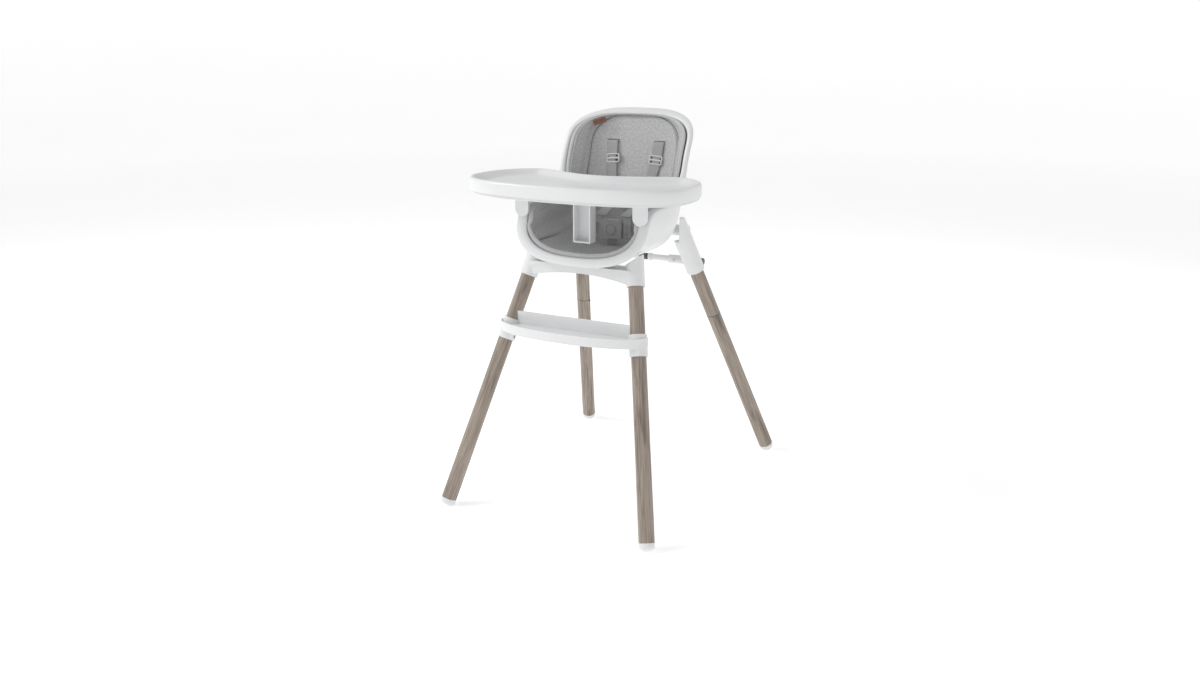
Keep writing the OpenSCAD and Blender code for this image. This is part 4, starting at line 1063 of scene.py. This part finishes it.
class MakeTray(Operator):
    """Tray cover with its soft rim, the tray base with its post and hooks, and the release parts"""

    bl_idname = "high_chair.make_tray"
    bl_label = "Tray"

    def execute(self, context):
        ring = tray_outline()
        z0, z1 = TRAY_LOW[2], TRAY_HIGH[2]
        floor = z1 - 16
        inside = [(34, floor - 3), (28, floor - 2.6), (22, floor + 0.8), (16, floor + 6.4), (11, floor + 10.6),
            (7, z1 - 4.2), (4.6, z1 - 7), (3.2, z1 - 12), (3.0, z0 + 1.2)]
        outside = [(2.0, z0), (0.6, z0 + 0.4), (0, z0 + 1.6), (0, z1 - 9), (0.3, z1 - 6.2), (1.1, z1 - 3.6),
            (2.6, z1 - 1.6), (4.6, z1 - 0.4), (6.6, z1), (8.8, z1 - 0.6), (11.6, z1 - 2.6), (15.0, z1 - 6.0),
            (19.0, z1 - 10.2), (23.5, z1 - 13.8), (29.0, z1 - 15.6), (34.0, floor)]
        rings = moulding(ring, inside + outside)
        new_piece("tray_cover_finish", rings, loft(rings), finish("white"), "tray_top",
            ["tray_cover"])
        finished_copy("tray_base", finish("white"), bevel=1.4)
        finished_copy("tray_release_lever", finish("white"), bevel=1.2)
        for name in ("left", "right"):
            finished_copy("tray_latch_" + name, finish("dark"), bevel=0.8)
        for side, name in SIDES:
            self.add_hollow_shade(side, name, z0)
        for side, name in SIDES:
            self.add_flares(side, name)
        return {"FINISHED"}

    def add_hollow_shade(self, side, name, skirt_z):
        """A dark flattened dome under the skirt, painted shade for the shadowed underside where fingers reach the
        tray's edge.
        """
        # Painted shade: the dark finish stands for the shadow under the skirt.
        hollow = pillow((side * 252.0, -222.0, skirt_z - 3.2), (17.0, 24.0, 2.6), power=(2.0, 2.0),
            rows=18, cols=48)
        new_piece("painted_hollow_shade_" + name, hollow, loft(hollow), finish("dark"), "tray")

    def add_flares(self, side, name):
        """Fillets beside the crotch post and each hook that spread into the underside of the tray."""
        post = flare(side * (POST_HALF - 0.2), side * POST_HALF, side * 20.0, POST_Y, 22.0)
        new_piece("post_flare_" + name, post, loft(post), finish("white"), "tray")
        hook = flare(side * (HOOK_X + 0.2), side * HOOK_X, side * -17.0, HOOK_Y, 34.0)
        new_piece("hook_flare_" + name, hook, loft(hook), finish("white"), "tray")


def flare(x0, x1, reach, y_range, height):
    """Rings of a fillet up to FLARE_TOP: its side at x1 moves out by reach along a quarter of an ellipse."""
    k = np.linspace(0, 1, 16)
    x1 = x1 + reach * (1 - np.sqrt(np.maximum(0, 1 - k ** 2)))
    z = FLARE_TOP - height * (1 - k)
    front, back = y_range
    x0 = np.full(16, x0)
    corners = [np.stack([x, np.full(16, y), z], -1) for x, y in ((x0, front), (x1, front), (x1, back), (x0, back))]
    return np.stack(corners, 1)


# ---------------------------------------------------------------- frame, legs and footrest


LEG_R = 18.0
# Radius of the dark ring painted as the shade in the groove at each leg's split.
GROOVE_SHADE_R = 17.6
LEG_SPLIT_Z = {"front": 426.0, "rear": 429.0}
LEG_LINES = {
    "front": (np.array([279.0, -378.92, 0.0]), np.array([130.4, -158.0, 640.0])),
    "rear": (np.array([290.0, 381.08, 0.0]), np.array([148.7, 80.2, 640.0])),
}


class MakeLegs(Operator):
    """Round upper legs that turn eight-sided towards the floor, with foot caps and snap buttons"""

    bl_idname = "high_chair.make_legs"
    bl_label = "Legs"

    def execute(self, context):
        for end in ("front", "rear"):
            for side, name in SIDES:
                self.add_leg(end, side, name)
                finished_copy(f"snap_button_{end}_{name}", finish("dark"), bevel=0.8, segments=4)
            finished_copy(end + "_foot_caps", finish("white"), bevel=0.8)
        return {"FINISHED"}

    def add_leg(self, end, side, name):
        """Two pieces on one line, split at the joint, with the grain drawn along them."""
        foot, hip = LEG_LINES[end]
        foot, hip = foot * np.array([side, 1, 1]), hip * np.array([side, 1, 1])
        axis = unit_rows(hip - foot)
        across = unit_rows(np.cross(axis, np.array([0, 1.0, 0])))
        deep = np.cross(axis, across)
        theta = np.linspace(0, 2 * np.pi, 64, endpoint=False)
        for part in ("upper", "lower"):
            node = f"{end}_{part}_leg_{name}"
            low, high = corners_mm(node)
            split_z = LEG_SPLIT_Z[end]
            z0, z1 = (split_z, high[2] - 6.0) if part == "upper" else (low[2] + 1.0, split_z)
            ends = np.array([foot + axis * ((z - foot[2]) / axis[2]) for z in (z0, z1)])
            length = np.linalg.norm(ends[1] - ends[0])
            s = np.concatenate([[0, 0.6, 1.6], np.linspace(3, length - 3, 90),
                [length - 1.6, length - 0.6, length]])
            from_end = np.minimum(s, length - s)
            chamfer = np.minimum(1, 0.955 + 0.045 * np.sqrt(np.clip(from_end / 1.6, 0, 1)))
            facets = 1 / np.maximum(np.abs(np.cos(((theta + np.pi / 8) % (np.pi / 4)) - np.pi / 8)), 0.5)
            eight = np.minimum(facets * 0.985, 1.045)
            share = np.zeros_like(s) if part == "upper" else ease(1 - s / (length - 60))
            radius = LEG_R * chamfer[:, None] * (1 + share[:, None] * (eight[None] - 1))
            x, y = radius * np.cos(theta), radius * np.sin(theta)
            rings = ends[0] + axis * s[:, None, None] + across * x[..., None] + deep * y[..., None]
            offset = 260.0 * (end == "rear") + 90.0 * (side > 0) + 37.0 * (part == "upper")
            along = np.broadcast_to(s[:, None], x.shape)
            pattern = np.stack([x + offset, y + offset, along + 3 * offset], -1)
            body = frame["nodes"][node]["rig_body"]
            new_piece(node + "_finish", rings, loft(rings), finish("wood"), body, [node],
                pattern=pattern)
            if part == "upper":
                # Painted shade: a thin dark ring laid in the groove at the split, standing for the shadow in it.
                round_it = across * np.cos(theta)[:, None] + deep * np.sin(theta)[:, None]
                ring = swept(ends[0] + GROOVE_SHADE_R * round_it, superellipse(0.8, 0.75, 2.0, 8), axis, closed=True)
                faces = grid_quads(64, 8, wrap_rows=True, wrap_cols=True)
                new_piece(f"{end}_leg_groove_shade_{name}", ring, faces, finish("dark"), body)


class MakeFrame(Operator):
    """Front frame, footrest, rear sockets, hinge and crossbar"""

    bl_idname = "high_chair.make_frame"
    bl_label = "Frame and Footrest"

    def execute(self, context):
        finished_copy("front_frame", finish("white"), bevel=1.6)
        finished_copy("footrest", finish("white"), bevel=1.3)
        finished_copy("hinge_bracket", finish("white"), bevel=1.4)
        for name in ("left", "right"):
            finished_copy("rear_socket_" + name, finish("white"), bevel=1.4)
            finished_copy("crossbar_sleeve_" + name, finish("white"), bevel=1.0)
            finished_copy("release_rod_" + name, finish("white"), bevel=0.8)
        finished_copy("release_core", finish("dark"), bevel=1.0)
        finished_copy("rod_end_caps", finish("dark"), bevel=1.2)
        finished_copy("sleeve_rivets", finish("steel"), bevel=0.4)
        finished_copy("hinge_pin", finish("steel"), bevel=0.8)
        finished_copy("seat_screws", finish("steel"), bevel=0.5)
        return {"FINISHED"}


# ---------------------------------------------------------------- stage


def area_light(name, place, target, size, power):
    """A soft square light aimed at a point."""
    light = bpy.data.lights.new(name, "AREA")
    light.shape = "SQUARE"
    light.size = size
    light.energy = power
    lamp = bpy.data.objects.new(name, light)
    lamp.location = place
    lamp.rotation_euler = (Vector(target) - Vector(place)).to_track_quat("-Z", "Y").to_euler()
    bpy.context.scene.collection.objects.link(lamp)


class MakeStage(Operator):
    """Pale floor that sweeps up behind, soft studio light and the camera"""

    bl_idname = "high_chair.make_stage"
    bl_label = "Stage"

    def execute(self, context):
        scene = context.scene
        sizes = scene.stage_sizes
        self.add_floor()
        camera = bpy.data.cameras.new("camera")
        camera.lens = sizes.lens
        camera.sensor_width = 36.0
        camera.clip_end = 60
        eye = bpy.data.objects.new("camera", camera)
        eye.location = sizes.camera_place
        a, e = sizes.azimuth, sizes.elevation
        look = Vector((-math.sin(a) * math.cos(e), math.cos(a) * math.cos(e), -math.sin(e)))
        eye.rotation_euler = look.to_track_quat("-Z", "Y").to_euler()
        scene.collection.objects.link(eye)
        scene.camera = eye
        area_light("key", (-2.6, -1.5, 2.9), (0, 0, 0.6), 1.5, sizes.key_power)
        area_light("fill", (1.6, -3.0, 1.6), (0, 0, 0.5), 2.4, sizes.key_power * 0.08)
        area_light("back", (1.2, 2.6, 2.6), (0, 0, 0.7), 2.4, sizes.key_power * 0.2)
        world = bpy.data.worlds.new("studio")
        world.use_nodes = True
        world.node_tree.nodes["Background"].inputs["Color"].default_value = (1.0, 1.0, 1.0, 1)
        world.node_tree.nodes["Background"].inputs["Strength"].default_value = 0.6
        scene.world = world
        scene.view_settings.view_transform = "Standard"
        return {"FINISHED"}

    def add_floor(self):
        """A flat floor whose far edge curves up into a backdrop on every side."""
        flat, curl = 9, 2.5
        turn = np.linspace(0, np.pi / 2, 14)
        r = np.concatenate([[0.0], np.linspace(0.5, flat, 24), flat + curl * np.sin(turn)[1:]])
        z = np.concatenate([np.zeros(25), curl * (1 - np.cos(turn))[1:]])
        a = np.linspace(0, 2 * np.pi, 96, endpoint=False)
        height = np.broadcast_to(z[:, None], (len(r), 96))
        rings = np.stack([r[:, None] * np.cos(a), r[:, None] * np.sin(a), height], -1)
        mesh = bpy.data.meshes.new("floor")
        mesh.from_pydata(rings.reshape(-1, 3).tolist(), [], grid_quads(len(r), 96, wrap_cols=True))
        tidy_mesh(mesh)
        mesh.shade_smooth()
        floor = bpy.data.objects.new("floor", mesh)
        bpy.context.scene.collection.objects.link(floor)
        mat, tree, shader, add = new_finish("floor_paper")
        place = add("ShaderNodeTexCoord").outputs["Object"]
        cloud = add("ShaderNodeTexNoise", {"Vector": place, "Scale": 2.0, "Detail": 2.0}).outputs["Fac"]
        paper = ramp(add, cloud, [(0.3, (0.965, 0.965, 0.965)), (0.7, (0.975, 0.975, 0.975))])
        tree.links.new(paper, shader.inputs["Base Color"])
        shader.inputs["Roughness"].default_value = 0.85
        shader.inputs["Emission Color"].default_value = (1.0, 1.0, 1.0, 1)
        shader.inputs["Emission Strength"].default_value = 0.3
        mesh.materials.append(mat)


# ---------------------------------------------------------------- panel and registration


STEPS = (MakeShell, MakeLiner, MakeHarness, MakeTray, MakeLegs, MakeFrame, MakeStage)


class HIGHCHAIR_PT_panel(Panel):
    """Sizes, colours and the buttons that build each group"""

    bl_label = "High Chair"
    bl_idname = "HIGHCHAIR_PT_panel"
    bl_space_type = "VIEW_3D"
    bl_region_type = "UI"
    bl_category = "High Chair"

    def draw(self, context):
        layout = self.layout
        for group in (context.scene.seat_sizes, context.scene.chair_colours, context.scene.stage_sizes):
            box = layout.box()
            for name in group.__annotations__:
                box.prop(group, name)
        for step in STEPS:
            layout.operator(step.bl_idname)


CLASSES = (SeatSizes, ChairColours, StageSizes, *STEPS, HIGHCHAIR_PT_panel)


def register():
    for cls in CLASSES:
        bpy.utils.register_class(cls)
    bpy.types.Scene.seat_sizes = PointerProperty(type=SeatSizes)
    bpy.types.Scene.chair_colours = PointerProperty(type=ChairColours)
    bpy.types.Scene.stage_sizes = PointerProperty(type=StageSizes)


def unregister():
    del bpy.types.Scene.stage_sizes
    del bpy.types.Scene.chair_colours
    del bpy.types.Scene.seat_sizes
    for cls in reversed(CLASSES):
        bpy.utils.unregister_class(cls)


def main():
    register()
    ops = bpy.ops.high_chair
    ops.make_shell()
    ops.make_liner()
    ops.make_harness()
    ops.make_tray()
    ops.make_legs()
    ops.make_frame()
    ops.make_stage()
    bpy.context.view_layer.update()


if __name__ == "__main__":
    main()
